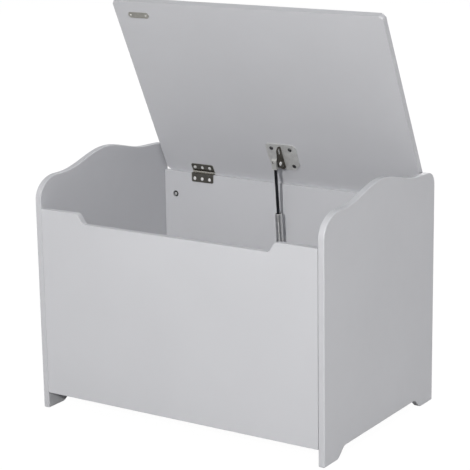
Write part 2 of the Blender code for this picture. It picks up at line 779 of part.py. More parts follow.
def main():
    clear_scene()
    paint = material("painted_mdf", (0.62, 0.62, 0.64), 0.45)
    looks = {
        "nickel": material("nickel_plate", (0.55, 0.55, 0.53), 0.28, 1.0),
        "steel": material("steel", (0.62, 0.62, 0.62), 0.30, 1.0),
        "zinc": material("zinc", (0.60, 0.60, 0.60), 0.40, 1.0),
        "tube": material("tube_steel", (0.56, 0.57, 0.56), 0.25, 1.0),
        "rod": material("chrome", (0.60, 0.60, 0.62), 0.08, 1.0),
        "end": material("end_fitting", (0.66, 0.66, 0.63), 0.35, 1.0),
        "black": material("black_plastic", (0.03, 0.03, 0.03), 0.50),
        "label": material("label_metal", (0.50, 0.48, 0.45), 0.40, 1.0),
    }
    side_panel("left_side_panel", -1, paint)
    side_panel("right_side_panel", 1, paint)
    front_panel(paint)
    back_panel(paint)
    bottom_panel(paint)
    fittings(looks)

    opened = radians(LID_OPEN)
    lid_axis = empty("lid_axis", (0, AXIS_Y, AXIS_Z), -opened)
    lid_panel(lid_axis, paint)
    for name, sign in (("left", -1), ("right", 1)):
        hinge(name, sign * HINGE_X, lid_axis, looks)
    screws(lid_axis, looks)
    lid_bracket(lid_axis, looks)
    body_bracket(looks)
    label(lid_axis, looks)

    anchor_y = AXIS_Y - ANCHOR_REACH * cos(opened) - ANCHOR_DROP * sin(opened)
    anchor_z = AXIS_Z + ANCHOR_REACH * sin(opened) - ANCHOR_DROP * cos(opened)
    run_y, run_z = anchor_y - FOOT_PIVOT_Y, anchor_z - FOOT_PIVOT_Z
    lean = atan2(-run_y, run_z)
    strut_axis = empty("strut_axis", (0, FOOT_PIVOT_Y, FOOT_PIVOT_Z), lean)
    strut(strut_axis, hypot(run_y, run_z), looks)


main()
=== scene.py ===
"""Looks for the painted toy box: finished boards, metal hardware, soft studio light.

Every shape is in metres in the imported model's frame. The lid's pieces are drawn
closed in the hinge's own frame and turned open, and the stay's pieces stand along
local +Z on its lower pivot.
"""

from math import atan2, cos, hypot, pi, radians, sin

import bmesh
import bpy
from mathutils import Matrix, Vector


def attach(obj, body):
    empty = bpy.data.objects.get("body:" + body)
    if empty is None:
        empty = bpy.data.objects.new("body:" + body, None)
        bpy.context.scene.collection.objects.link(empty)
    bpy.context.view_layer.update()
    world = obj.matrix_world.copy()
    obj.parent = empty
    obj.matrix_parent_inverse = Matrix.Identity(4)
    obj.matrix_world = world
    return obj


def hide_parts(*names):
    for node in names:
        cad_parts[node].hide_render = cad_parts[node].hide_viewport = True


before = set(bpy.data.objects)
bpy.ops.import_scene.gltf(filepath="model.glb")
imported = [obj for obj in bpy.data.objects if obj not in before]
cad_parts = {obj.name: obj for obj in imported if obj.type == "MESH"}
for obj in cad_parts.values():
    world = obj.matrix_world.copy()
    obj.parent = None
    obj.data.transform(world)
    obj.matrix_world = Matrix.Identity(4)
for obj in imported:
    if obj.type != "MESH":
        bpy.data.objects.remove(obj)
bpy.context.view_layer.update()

X, Y, Z = Vector((1, 0, 0)), Vector((0, 1, 0)), Vector((0, 0, 1))
IDENTITY = Matrix.Identity(4)

# Carcass
HALF_WIDTH, HALF_DEPTH, BOARD, TOUCH = 0.300, 0.200, 0.012, 0.0003
PANEL_TOP, PANEL_FOOT = 0.379, 0.030
NOTCH_DEPTH, NOTCH_HALF_TOP, NOTCH_HALF_FLOOR = 0.018, 0.209, 0.190
SHOULDER_Z, SHOULDER_RADII, SHOULDER_END = 0.434, (0.052, 0.040), 0.068
HUMP, DIP = (0.203, 0.459), (0.335, 0.437)
REAR_SHOULDER_Z, REAR_RADIUS = 0.435, 0.024
FOOT_LENGTH, FOOT_CURVE, ARCH_HEIGHT = 0.043, 0.031, 0.018
SIDE_IN = HALF_WIDTH - BOARD
PANEL_HALF = SIDE_IN - TOUCH
BACK_FACE = HALF_DEPTH - BOARD
FLOOR_Z, FLOOR_BOARD, GROOVE = 0.045, 0.009, 0.005

# Lid, hinges and stay
AXIS_Y, AXIS_Z, LID_OPEN = 0.194, 0.382, radians(64.2)
LID_REACH, LID_TAIL, LID_RISE, LID_HALF = 0.387, 0.003, 0.0005, SIDE_IN - 0.004
LID_CORNER = 0.007
HINGE_X, HINGE_HALF, LEAF, LEAF_DROP, LEAF_REACH = 0.197, 0.025, 0.0012, 0.0165, 0.019
KNUCKLE_R, KNUCKLES, KNUCKLE_GAP, HINGE_BORE_R = 0.0026, 5, 0.0002, 0.0016
LEAF_BEND, LEAF_CORNER, LEAF_ROUNDING = 0.0014, 0.0028, 0.00018
HINGE_SCREW_PITCH, HINGE_SCREW_DROP, HINGE_SCREW_REACH = 0.017, 0.0095, 0.0118
ANCHOR_REACH, ANCHOR_DROP = 0.056, 0.0155
FOOT_PIVOT = (0.179, 0.188)
STRUT_X, TUBE_R, TUBE_INNER, TUBE_START, TUBE_END = -0.0105, 0.007, 0.0058, 0.014, 0.1395
ROD_R, ROD_INNER_END, END_WIDTH, END_CHEEK = 0.0031, 0.122, 0.0106, 0.0045
ROD_END_FOOT, ROD_SOCKET, ROD_END_NOSE = 0.012, 0.0055, 0.0045
END_LEFT, TUBE_LIP = STRUT_X - END_WIDTH / 2, 0.0014
GUIDE_LENGTH, GUIDE_DEPTH, PISTON_LENGTH, RING_DROP = 0.009, 0.0011, 0.007, 0.0155
GRUB_HOLE_R, GRUB_INSET, GRUB_RISE = 0.0021, 0.0032, 0.0020
PLATE, PLATE_HALF, PLATE_CHAMFERS, PLATE_REACH = 0.0015, (0.0325, 0.0290), (0.0050, 0.0125), 0.061
SLOT_OFFSET, SLOT_HALF, PLATE_ROUNDING = (0.020, 0.0190), (0.0042, 0.0021), 0.00028
PIN_R, PIN_HEAD_R, PIN_HEAD, PIN_PLAY = 0.0025, 0.004, 0.0012, 0.0004

# The lugs' outlines: distance from the plate's end of the frame, then height off the plate
LUG, LUG_EYE_R, LUG_FOOT, BODY_LUG_HALF = 0.002, 0.0075, (0.037, 0.084), 0.021
LUG_HEEL, LUG_HEEL_R, LUG_HEEL_HOLE, LUG_HEEL_HOLE_R = (0.0435, 0.0075), 0.0055, (0.0440, 0.0075), 0.0024
LUG_TOE, LUG_TOE_R, LUG_SLOT, LUG_SLOT_HALF = (0.0805, 0.0080), 0.0078, (0.0785, 0.0080), (0.0068, 0.0034)

# Label, knock-down fittings and screws
LABEL_AT, LABEL_HALF, LABEL_THICKNESS = (-0.232, 0.358), (0.0235, 0.006), 0.0008
LABEL_SHOULDER, LABEL_NOSE_R, LABEL_SUNK = 0.004, 0.0025, 0.00015
LABEL_RIVET_X, RIVET_HOLE_R, RIVET_DEPTH, RIVET_HOLE_DEPTH = 0.0165, 0.0013, 0.005, 0.0055
CAM_X, CAM_R, CAM_DEPTH, CAM_HEIGHTS = 0.262, 0.006, 0.0095, (0.105, 0.333)
CAM_TRENCH, CAM_RING, CAM_MOUTH_R, BOLT_R, BOLT_REACH = 0.0028, 0.0031, 0.0028, 0.0025, 0.009
SCREW_R, SCREW_LENGTH, PILOT_R, PILOT_DEPTH = 0.0015, 0.0105, 0.0018, 0.0095
HINGE_HEAD_R, BRACKET_HEAD_R = 0.0033, 0.0040

# How the boards' edges are rounded, and how far a cutter starts outside its face
SIDE_ROUNDING, PANEL_ROUNDING, FLOOR_ROUNDING, LID_ROUNDING = 0.0018, 0.0011, 0.0006, 0.0025
OVERCUT = 0.001

LID = Matrix.Translation((0, AXIS_Y, AXIS_Z)) @ Matrix.Rotation(-LID_OPEN, 4, "X")
anchor = LID @ Vector((0, -ANCHOR_REACH, -ANCHOR_DROP))
run_y, run_z = anchor.y - FOOT_PIVOT[0], anchor.z - FOOT_PIVOT[1]
STRUT_LENGTH = hypot(run_y, run_z)
STRUT = Matrix.Translation((0, *FOOT_PIVOT)) @ Matrix.Rotation(atan2(-run_y, run_z), 4, "X")
STRUT_MIDDLE = Matrix.Translation((STRUT_X, 0, 0))


# ---------------------------------------------------------------- materials


class Nodes:
    """A material's node tree with a Principled shader, and short ways to add nodes."""

    def __init__(self, name, colour, roughness, metallic=0.0, specular=0.5):
        self.material = bpy.data.materials.new(name)
        self.material.use_nodes = True
        self.tree = self.material.node_tree
        self.shader = self.tree.nodes["Principled BSDF"]
        self.colour = colour
        self.set(self.shader, "Base Color", (*colour, 1.0))
        self.set(self.shader, "Roughness", roughness)
        self.set(self.shader, "Metallic", metallic)
        self.set(self.shader, "Specular IOR Level", specular)
        self.material.diffuse_color = (*colour, 1.0)
        self.coordinates = self.tree.nodes.new("ShaderNodeTexCoord")

    def set(self, node, socket, value):
        node.inputs[socket].default_value = value

    def link(self, source, node, socket):
        self.tree.links.new(source, node.inputs[socket])

    def noise(self, scale, detail=3.0, stretch=(1, 1, 1), rough=0.5):
        mapping = self.tree.nodes.new("ShaderNodeMapping")
        mapping.inputs["Scale"].default_value = stretch
        self.link(self.coordinates.outputs["Object"], mapping, "Vector")
        noise = self.tree.nodes.new("ShaderNodeTexNoise")
        self.set(noise, "Scale", scale)
        self.set(noise, "Detail", detail)
        self.set(noise, "Roughness", rough)
        self.link(mapping.outputs["Vector"], noise, "Vector")
        return noise.outputs["Fac"]

    def remap(self, source, low, high, start=0.3, end=0.7):
        node = self.tree.nodes.new("ShaderNodeMapRange")
        self.set(node, "From Min", start)
        self.set(node, "From Max", end)
        self.set(node, "To Min", low)
        self.set(node, "To Max", high)
        self.link(source, node, "Value")
        return node.outputs["Result"]

    def roughness(self, source, low, high):
        self.link(self.remap(source, low, high), self.shader, "Roughness")

    def tint(self, source, dark, light):
        """Base colour between dark and light times the material's own colour."""
        mix = self.tree.nodes.new("ShaderNodeMix")
        mix.data_type = "RGBA"
        self.link(self.remap(source, 0.0, 1.0), mix, "Factor")
        ends = [s for s in mix.inputs if s.type == "RGBA"]
        for socket, share in zip(ends, (dark, light)):
            socket.default_value = (*(c * share for c in self.colour), 1.0)
        result = [s for s in mix.outputs if s.type == "RGBA"][0]
        self.link(result, self.shader, "Base Color")

    def bump(self, *layers):
        """Each layer is (source, height in metres); they are chained."""
        last = None
        for source, height in layers:
            bump = self.tree.nodes.new("ShaderNodeBump")
            self.set(bump, "Strength", 1.0)
            self.set(bump, "Distance", height)
            self.link(source, bump, "Height")
            if last is not None:
                self.link(last, bump, "Normal")
            last = bump.outputs["Normal"]
        self.link(last, self.shader, "Normal")


PAINT = (0.600, 0.605, 0.632)


def paint_face():
    """Sprayed satin paint: faint orange peel and very slight mottling."""
    m = Nodes("satin_paint_face", PAINT, 0.42, specular=0.4)
    m.tint(m.noise(6.0, 4.0), 0.985, 1.015)
    m.roughness(m.noise(40.0, 3.0), 0.38, 0.50)
    m.bump((m.noise(420.0, 2.0), 0.00002), (m.noise(1900.0, 2.0), 0.000012))
    return m.material


def paint_edge():
    """Paint on the boards' cut edges: duller, with a little of the fibre showing."""
    m = Nodes("satin_paint_edge", tuple(c * 0.985 for c in PAINT), 0.52, specular=0.35)
    m.tint(m.noise(25.0, 4.0), 0.97, 1.01)
    m.roughness(m.noise(90.0, 3.0), 0.46, 0.62)
    m.bump((m.noise(1400.0, 4.0), 0.00004), (m.noise(300.0, 2.0), 0.00002))
    return m.material


def plated(name, colour, low, high, brushed=(1, 1, 1), grain=600.0, tint=(0.90, 1.08), metal=1.0):
    """Plated or drawn metal whose fine lines run along the least stretched axis."""
    m = Nodes(name, colour, (low + high) / 2, metallic=metal)
    lines = m.noise(grain, 4.0, brushed, 0.6)
    m.tint(m.noise(110.0, 4.0), *tint)
    m.roughness(lines, low, high)
    m.bump((lines, 0.000006))
    return m.material


def drawn_tube():
    """Turned steel: fine rings round the tube draw its highlights out along it."""
    m = Nodes("turned_silver_tube", (0.76, 0.76, 0.75), 0.30, metallic=1.0)
    m.set(m.shader, "Anisotropic", 0.85)
    m.set(m.shader, "Anisotropic Rotation", 0.25)
    tangent = m.tree.nodes.new("ShaderNodeTangent")
    tangent.direction_type = "RADIAL"
    tangent.axis = "Z"
    m.link(tangent.outputs["Tangent"], m.shader, "Tangent")
    m.tint(m.noise(110.0, 4.0), 0.94, 1.06)
    m.roughness(m.noise(600.0, 4.0, (1, 1, 9), 0.6), 0.26, 0.36)
    return m.material


def cast_zinc():
    """Die-cast zinc, slightly mottled and grainy."""
    m = Nodes("cast_zinc", (0.80, 0.80, 0.80), 0.36, metallic=0.6)
    m.tint(m.noise(500.0, 5.0), 0.80, 1.10)
    m.roughness(m.noise(900.0, 4.0), 0.34, 0.56)
    m.bump((m.noise(1600.0, 4.0), 0.00003))
    return m.material


def moulded_plastic():
    """Black plastic with the mould's fine grain."""
    m = Nodes("black_moulded_plastic", (0.018, 0.018, 0.019), 0.45)
    m.tint(m.noise(300.0, 3.0), 0.85, 1.25)
    m.roughness(m.noise(700.0, 3.0), 0.38, 0.55)
    m.bump((m.noise(2200.0, 3.0), 0.00001))
    return m.material


def paint_floor():
    """The inside floor: the same paint, rubbed a little by what is put in."""
    m = Nodes("satin_paint_floor", tuple(c * 0.97 for c in PAINT), 0.46, specular=0.4)
    m.tint(m.noise(9.0, 5.0), 0.955, 1.02)
    m.roughness(m.noise(60.0, 5.0, (1, 3, 1)), 0.36, 0.56)
    m.bump((m.noise(420.0, 2.0), 0.00002), (m.noise(1900.0, 2.0), 0.000012))
    return m.material


LOOKS = {
    "face": paint_face(),
    "edge": paint_edge(),
    "floor": paint_floor(),
    "nickel": plated("satin_nickel_plate", (0.70, 0.70, 0.69), 0.26, 0.40, (1, 6, 6), metal=0.35),
    # Hinge leaves: a dark base standing in for the dark reflection, a painted dark reflection
    "hinge": plated("nickel_hinge_leaf_painted_dark_reflection", (0.23, 0.22, 0.19), 0.14, 0.26, (1, 8, 8)),
    # Dark nickel for the lugs; also painted shade on the plates' lower edges and in the grub screw's hole
    "lug": plated("dark_nickel_lug_and_painted_shade", (0.14, 0.13, 0.11), 0.22, 0.36, (6, 1, 1)),
    "steel": plated("bright_zinc_steel", (0.96, 0.96, 0.95), 0.16, 0.26, metal=0.35),
    "screw": plated("dark_bracket_screw", (0.19, 0.19, 0.19), 0.22, 0.34),
    "tube": drawn_tube(),
    "rod": plated("dark_chrome_rod", (0.085, 0.088, 0.095), 0.09, 0.15, (10, 10, 0.3)),
    "end": plated("satin_silver_end", (0.72, 0.72, 0.69), 0.28, 0.42, (4, 4, 1), metal=0.6),
    # Knuckles: a brighter copy of the same hinge metal, a painted highlight
    "knuckle": plated("nickel_hinge_roll_painted_highlight", (0.62, 0.60, 0.55), 0.20, 0.32, (1, 8, 8), metal=0.7),
    "zinc": cast_zinc(),
    # Painted shade for the trench round each cam's boss
    "ring": plated("cam_trench_painted_shade", (0.075, 0.075, 0.075), 0.35, 0.50),
    "plastic": moulded_plastic(),
    "label": plated("warm_grey_label", (0.50, 0.49, 0.455), 0.34, 0.46, (0.5, 9, 9), metal=0.75),
    "rivet": plated("nickel_rivet", (0.80, 0.80, 0.77), 0.25, 0.36, metal=0.5),
}


# ---------------------------------------------------------------- mesh tools


def frame_to(origin, along, across):
    """A frame at origin with local Z along one direction and local X across it."""
    along = Vector(along).normalized()
    across = Vector(across).normalized()
    turn = Matrix((across, along.cross(across), along)).transposed().to_4x4()
    return Matrix.Translation(origin) @ turn


def add_prism(bm, outline, matrix, depth):
    """Raise an anticlockwise outline by depth along local Z."""
    low = [bm.verts.new(matrix @ Vector((a, b, 0.0))) for a, b in outline]
    high = [bm.verts.new(matrix @ Vector((a, b, depth))) for a, b in outline]
    bm.faces.new(list(reversed(low)))
    bm.faces.new(high)
    for i in range(len(outline)):
        j = (i + 1) % len(outline)
        bm.faces.new((low[i], low[j], high[j], high[i]))


def add_box(bm, low, high):
    outline = [(low[0], low[1]), (high[0], low[1]), (high[0], high[1]), (low[0], high[1])]
    add_prism(bm, outline, Matrix.Translation((0, 0, low[2])), high[2] - low[2])


def add_turned(bm, profile, matrix, segments=32):
    """Revolve (radius, height) points about local Z and close both ends."""
    rings = []
    for radius, height in profile:
        if radius == 0.0:
            rings.append([bm.verts.new(matrix @ Vector((0, 0, height)))])
            continue
        angles = [2 * pi * i / segments for i in range(segments)]
        ring = [Vector((radius * cos(a), radius * sin(a), height)) for a in angles]
        rings.append([bm.verts.new(matrix @ point) for point in ring])
    for below, above in zip(rings, rings[1:]):
        for i in range(segments):
            j = (i + 1) % segments
            corners = [below[i % len(below)], below[j % len(below)]]
            corners += [above[j % len(above)], above[i % len(above)]]
            unique = list(dict.fromkeys(corners))
            if len(unique) > 2:
                bm.faces.new(unique)
    for ring in (rings[0], rings[-1]):
        if len(ring) > 1:
            bm.faces.new(ring)


def add_cylinder(bm, start, end, radius, segments=32):
    run = Vector(end) - Vector(start)
    across = X if abs(run.normalized().x) < 0.5 else Y
    matrix = frame_to(start, run, across - across.project(run))
    add_turned(bm, [(radius, 0.0), (radius, run.length)], matrix, segments)


def arc(centre, radii, start, end, steps):
    """Points along an ellipse's arc, between two angles in degrees."""
    points = []
    for i in range(steps + 1):
        angle = radians(start + (end - start) * i / steps)
        points.append((centre[0] + radii[0] * cos(angle), centre[1] + radii[1] * sin(angle)))
    return points


def ogee(start, end, steps):
    """An S-shaped run between two points, level at both ends."""
    points = []
    for i in range(steps + 1):
        share = i / steps
        rise = (1 - cos(pi * share)) / 2
        points.append((start[0] + (end[0] - start[0]) * share, start[1] + (end[1] - start[1]) * rise))
    return points


def circle(centre, radius, steps=32):
    return arc(centre, (radius, radius), 0, 360, steps)[:-1]


def hull(points):
    """The convex outline round the points, anticlockwise."""
    ordered = sorted(set(points))

    def half(run):
        chain = []
        for point in run:
            while len(chain) > 1:
                (ax, ay), (bx, by) = chain[-2], chain[-1]
                if (bx - ax) * (point[1] - ay) - (by - ay) * (point[0] - ax) > 1e-12:
                    break
                chain.pop()
            chain.append(point)
        return chain[:-1]

    return half(ordered) + half(reversed(ordered))


def rounded_rectangle(half_a, half_b, radius, steps=8):
    points = []
    for sign_a, sign_b, start in ((1, 1, 0), (-1, 1, 90), (-1, -1, 180), (1, -1, 270)):
        centre = (sign_a * (half_a - radius), sign_b * (half_b - radius))
        points += arc(centre, (radius, radius), start, start + 90, steps)
    return points


def chamfered_rectangle(half_a, half_b, cuts):
    """The first cut is for the two corners at +b and the second for those at -b."""
    corners = []
    for sign_a, sign_b in ((1, 1), (-1, 1), (-1, -1), (1, -1)):
        cut = cuts[0] if sign_b > 0 else cuts[1]
        near_a = (sign_a * half_a, sign_b * (half_b - cut))
        near_b = (sign_a * (half_a - cut), sign_b * half_b)
        corners += [near_a, near_b] if sign_a * sign_b > 0 else [near_b, near_a]
    return corners


def slot_outline(centre, half_length, radius, steps=12):
    left = arc((centre[0] - half_length + radius, centre[1]), (radius, radius), 90, 270, steps)
    right = arc((centre[0] + half_length - radius, centre[1]), (radius, radius), -90, 90, steps)
    return left + right


def cross_outline(half_length, half_width):
    """A plus sign, anticlockwise."""
    a, b = half_length, half_width
    outline = []
    for sign_a, sign_b in ((1, 1), (-1, 1), (-1, -1), (1, -1)):
        side = (sign_a * a, sign_b * b)
        end = (sign_a * b, sign_b * a)
        corner = (sign_a * b, sign_b * b)
        outline += [side, corner, end] if sign_a * sign_b > 0 else [end, corner, side]
    return outline


def raw_object(name, bm):
    """An object in the scene made from bm, which is freed."""
    bmesh.ops.recalc_face_normals(bm, faces=bm.faces)
    mesh = bpy.data.meshes.new(name)
    bm.to_mesh(mesh)
    bm.free()
    item = bpy.data.objects.new(name, mesh)
    bpy.context.scene.collection.objects.link(item)
    return item


def make_mesh(name, bm, steps=(), bevel=0.0, segments=3, bevel_first=False, angle=32.0):
    """Mesh after its cuts and rounding. A step is (bmesh, "DIFFERENCE" or "UNION")."""
    item = raw_object(name, bm)
    tools = []

    def rounding():
        modifier = item.modifiers.new("rounding", "BEVEL")
        modifier.width = bevel
        modifier.segments = segments
        modifier.limit_method = "ANGLE"
        modifier.angle_limit = radians(angle)

    if bevel and bevel_first:
        rounding()
    for step_bm, operation in steps:
        tool = raw_object(name + "_tool", step_bm)
        tools.append(tool)
        modifier = item.modifiers.new("step", "BOOLEAN")
        modifier.object = tool
        modifier.operation = operation
        modifier.solver = "EXACT"
    if bevel and not bevel_first:
        rounding()
    graph = bpy.context.evaluated_depsgraph_get()
    mesh = bpy.data.meshes.new_from_object(item.evaluated_get(graph))
    for old in (item, *tools):
        bpy.data.objects.remove(old)
    mesh.name = name
    mesh.shade_smooth()
    mesh.set_sharp_from_angle(angle=radians(angle))
    return mesh


def add_piece(name, mesh, matrix, body, node, looks, choose=None):
    """An object for the mesh, riding on its body in place of one CAD node."""
    item = bpy.data.objects.new(name, mesh)
    bpy.context.scene.collection.objects.link(item)
    item.matrix_world = matrix
    if not mesh.materials:
        for look in looks:
            mesh.materials.append(LOOKS[look])
        if choose is not None:
            for face in mesh.polygons:
                face.material_index = choose(face)
    weighted = item.modifiers.new("weighted_normals", "WEIGHTED_NORMAL")
    weighted.keep_sharp = True
    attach(item, body)
    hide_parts(node)
    return item


# ---------------------------------------------------------------- boards


def board(name, mesh, body, node, axis, looks=("face", "edge")):
    """A board's faces across its thickness are broad faces, the rest are cut edges."""

    def choose(face):
        return 0 if abs(face.normal[axis]) > 0.72 else 1

    add_piece(name, mesh, IDENTITY, body, node, looks, choose)


def side_outline():
    """Anticlockwise from the front foot, as (distance from the front edge, height)."""
    rear = 2 * HALF_DEPTH
    points = [(0.0, 0.0)]
    shoulder = (SHOULDER_RADII[0], SHOULDER_Z - SHOULDER_RADII[1])
    points += arc(shoulder, SHOULDER_RADII, 180, 90, 24)
    points += ogee((SHOULDER_END, SHOULDER_Z), HUMP, 32)
    points += ogee(HUMP, DIP, 32)[1:]
    corner = (rear - REAR_RADIUS, REAR_SHOULDER_Z - REAR_RADIUS)
    points += arc(corner, (REAR_RADIUS, REAR_RADIUS), 90, 0, 18)
    points.append((rear, 0.0))
    rear_foot = rear - FOOT_LENGTH
    points += ogee((rear_foot, 0.0), (rear_foot - FOOT_CURVE, ARCH_HEIGHT), 20)
    points += ogee((FOOT_LENGTH + FOOT_CURVE, ARCH_HEIGHT), (FOOT_LENGTH, 0.0), 20)
    return points


def side_board(name, sign, node):
    low_x = SIDE_IN if sign > 0 else -HALF_WIDTH
    bm = bmesh.new()
    outline = [(d - HALF_DEPTH, z) for d, z in side_outline()]
    add_prism(bm, outline, frame_to((low_x, 0, 0), X, Y), BOARD)
    bores, groove = bmesh.new(), bmesh.new()
    outside, bottom = sign * (SIDE_IN - OVERCUT), sign * (SIDE_IN + BOLT_REACH)
    for y in (BOARD / 2 - HALF_DEPTH, HALF_DEPTH - BOARD / 2):
        for z in CAM_HEIGHTS:
            add_cylinder(bores, (outside, y, z), (bottom, y, z), BOLT_R + TOUCH, 20)
    low_x, high_x = sorted((outside, sign * (SIDE_IN + GROOVE)))
    run = BACK_FACE + GROOVE
    add_box(groove, (low_x, -run, FLOOR_Z), (high_x, run, FLOOR_Z + FLOOR_BOARD + 2 * TOUCH))
    steps = [(bores, "DIFFERENCE"), (groove, "DIFFERENCE")]
    board(name, make_mesh(name, bm, steps, SIDE_ROUNDING, 4, True), "carcass", node, 0)


def upright_steps(y_centre, face, inward):
    """The same pockets, bores and floor groove as the CAD panel has."""
    pockets, bores, groove = bmesh.new(), bmesh.new(), bmesh.new()
    for sign in (-1, 1):
        cam, end = sign * CAM_X, sign * (PANEL_HALF + OVERCUT)
        for z in CAM_HEIGHTS:
            mouth = (cam, face + inward * OVERCUT, z)
            blind_end = (cam, face - inward * (CAM_DEPTH + TOUCH), z)
            add_cylinder(pockets, mouth, blind_end, CAM_R + TOUCH, 40)
            add_cylinder(bores, (end, y_centre, z), (cam, y_centre, z), BOLT_R + TOUCH, 20)
    low_y, high_y = sorted((face + inward * OVERCUT, face - inward * GROOVE))
    reach = PANEL_HALF + OVERCUT
    top = FLOOR_Z + FLOOR_BOARD + 2 * TOUCH
    add_box(groove, (-reach, low_y, FLOOR_Z), (reach, high_y, top))
    return [(pockets, "DIFFERENCE"), (bores, "DIFFERENCE"), (groove, "DIFFERENCE")]


def front_board():
    floor = PANEL_TOP - NOTCH_DEPTH
    outline = [(-PANEL_HALF, PANEL_FOOT), (PANEL_HALF, PANEL_FOOT), (PANEL_HALF, PANEL_TOP)]
    outline += ogee((NOTCH_HALF_TOP, PANEL_TOP), (NOTCH_HALF_FLOOR, floor), 24)
    outline += ogee((-NOTCH_HALF_FLOOR, floor), (-NOTCH_HALF_TOP, PANEL_TOP), 24)
    outline.append((-PANEL_HALF, PANEL_TOP))
    inner = BOARD - HALF_DEPTH
    bm = bmesh.new()
    add_prism(bm, outline, frame_to((0, inner, 0), -Y, X), BOARD)
    steps = upright_steps(inner - BOARD / 2, inner, 1)
    mesh = make_mesh("front_board", bm, steps, PANEL_ROUNDING, 3, True)
    board("front_board", mesh, "carcass", "front_panel", 1)


def back_board():
    bm = bmesh.new()
    add_box(bm, (-PANEL_HALF, BACK_FACE, PANEL_FOOT), (PANEL_HALF, HALF_DEPTH, PANEL_TOP))
    pilots = bmesh.new()
    for x, z in HINGE_BODY_SCREWS + BODY_BRACKET_SCREWS:
        add_cylinder(pilots, (x, BACK_FACE - OVERCUT, z), (x, BACK_FACE + PILOT_DEPTH, z), PILOT_R, 16)
    steps = upright_steps(HALF_DEPTH - BOARD / 2, BACK_FACE, -1) + [(pilots, "DIFFERENCE")]
    mesh = make_mesh("back_board", bm, steps, PANEL_ROUNDING, 3, True)
    board("back_board", mesh, "carcass", "back_panel", 1)


def floor_board():
    tongue = GROOVE - TOUCH
    half_x, half_y, low = SIDE_IN + tongue, BACK_FACE + tongue, FLOOR_Z + TOUCH
    bm = bmesh.new()
    add_box(bm, (-half_x, -half_y, low), (half_x, half_y, low + FLOOR_BOARD))
    mesh = make_mesh("floor_board", bm, (), FLOOR_ROUNDING, 2)
    board("floor_board", mesh, "carcass", "bottom_panel", 2, ("floor", "edge"))


def lid_board():
    """Drawn closed in the hinge axis's frame, then turned open."""
    half_run = (LID_REACH + LID_TAIL) / 2
    bm = bmesh.new()
    centre = Matrix.Translation((0, LID_TAIL - half_run, LID_RISE))
    add_prism(bm, rounded_rectangle(LID_HALF, half_run, LID_CORNER), centre, BOARD)

    def rounded(middle, run):
        """All of the outline's edges but the lower one over the hinges."""
        at_hinges = middle.y > LID_TAIL - 0.0001 and middle.z < LID_RISE + 0.0001
        return abs(run.z) < 0.1 and not at_hinges

    round_corner_edges(bm, rounded, LID_ROUNDING)
    pockets, pilots = bmesh.new(), bmesh.new()
    clear = 0.0006
    for sign in (-1, 1):
        half = HINGE_HALF + clear
        low = (sign * HINGE_X - half, -KNUCKLE_R - clear, LID_RISE - OVERCUT)
        add_box(pockets, low, (sign * HINGE_X + half, LID_TAIL + OVERCUT, KNUCKLE_R + clear))
    for x, y in HINGE_LID_SCREWS + LID_BRACKET_SCREWS:
        add_cylinder(pilots, (x, y, LID_RISE - OVERCUT), (x, y, LID_RISE + PILOT_DEPTH), PILOT_R, 16)
    for x in LABEL_RIVETS:
        low = (x, -LABEL_AT[1], LID_RISE - OVERCUT)
        high = (x, -LABEL_AT[1], LID_RISE + RIVET_HOLE_DEPTH)
        add_cylinder(pilots, low, high, RIVET_HOLE_R, 16)
    steps = [(pockets, "DIFFERENCE"), (pilots, "DIFFERENCE")]
    mesh = make_mesh("lid_board", bm, steps)

    def choose(face):
        return 0 if abs(face.normal.z) > 0.72 else 1

    add_piece("lid_board", mesh, LID, "lid", "lid_panel", ("face", "edge"), choose)


HINGE_COLUMNS = [s * HINGE_X + k * HINGE_SCREW_PITCH for s in (-1, 1) for k in (-1, 0, 1)]
HINGE_BODY_SCREWS = [(x, PANEL_TOP - HINGE_SCREW_DROP) for x in HINGE_COLUMNS]
HINGE_LID_SCREWS = [(x, -HINGE_SCREW_REACH) for x in HINGE_COLUMNS]
CORNERS = [(i * SLOT_OFFSET[0], j * SLOT_OFFSET[1]) for i in (-1, 1) for j in (-1, 1)]
BODY_BRACKET_SCREWS = [(a, FOOT_PIVOT[1] + b) for a, b in CORNERS]
LID_BRACKET_SCREWS = [(a, b - PLATE_REACH) for a, b in CORNERS]
LABEL_RIVETS = [LABEL_AT[0] - LABEL_RIVET_X, LABEL_AT[0] + LABEL_RIVET_X]


# ---------------------------------------------------------------- hardware


def round_corner_edges(bm, where, offset, segments=5):
    """Round the straight edges for which where(edge centre, direction) holds."""
    chosen = []
    for edge in bm.edges:
        a, b = edge.verts[0].co, edge.verts[1].co
        if where((a + b) / 2, (b - a).normalized()):
            chosen.append(edge)
    bmesh.ops.bevel(bm, geom=chosen, offset=offset, segments=segments, profile=0.5, affect="EDGES")


def knuckle_rolls(bm, first, pivot):
    """Every other knuckle of a hinge about X = 0, round the pivot (y, z)."""
    pitch = 2 * HINGE_HALF / KNUCKLES
    for k in range(first, KNUCKLES, 2):
        low = k * pitch - HINGE_HALF + KNUCKLE_GAP
        high = low + pitch - 2 * KNUCKLE_GAP
        add_cylinder(bm, (low, *pivot), (high, *pivot), KNUCKLE_R, 28)


def knuckle_gaps(bm, first, low_yz, high_yz):
    """The room for every other knuckle, cut out of the leaf's edge."""
    pitch = 2 * HINGE_HALF / KNUCKLES
    for k in range(first, KNUCKLES, 2):
        low = k * pitch - HINGE_HALF - KNUCKLE_GAP
        add_box(bm, (low, *low_yz), (low + pitch + 2 * KNUCKLE_GAP, *high_yz))


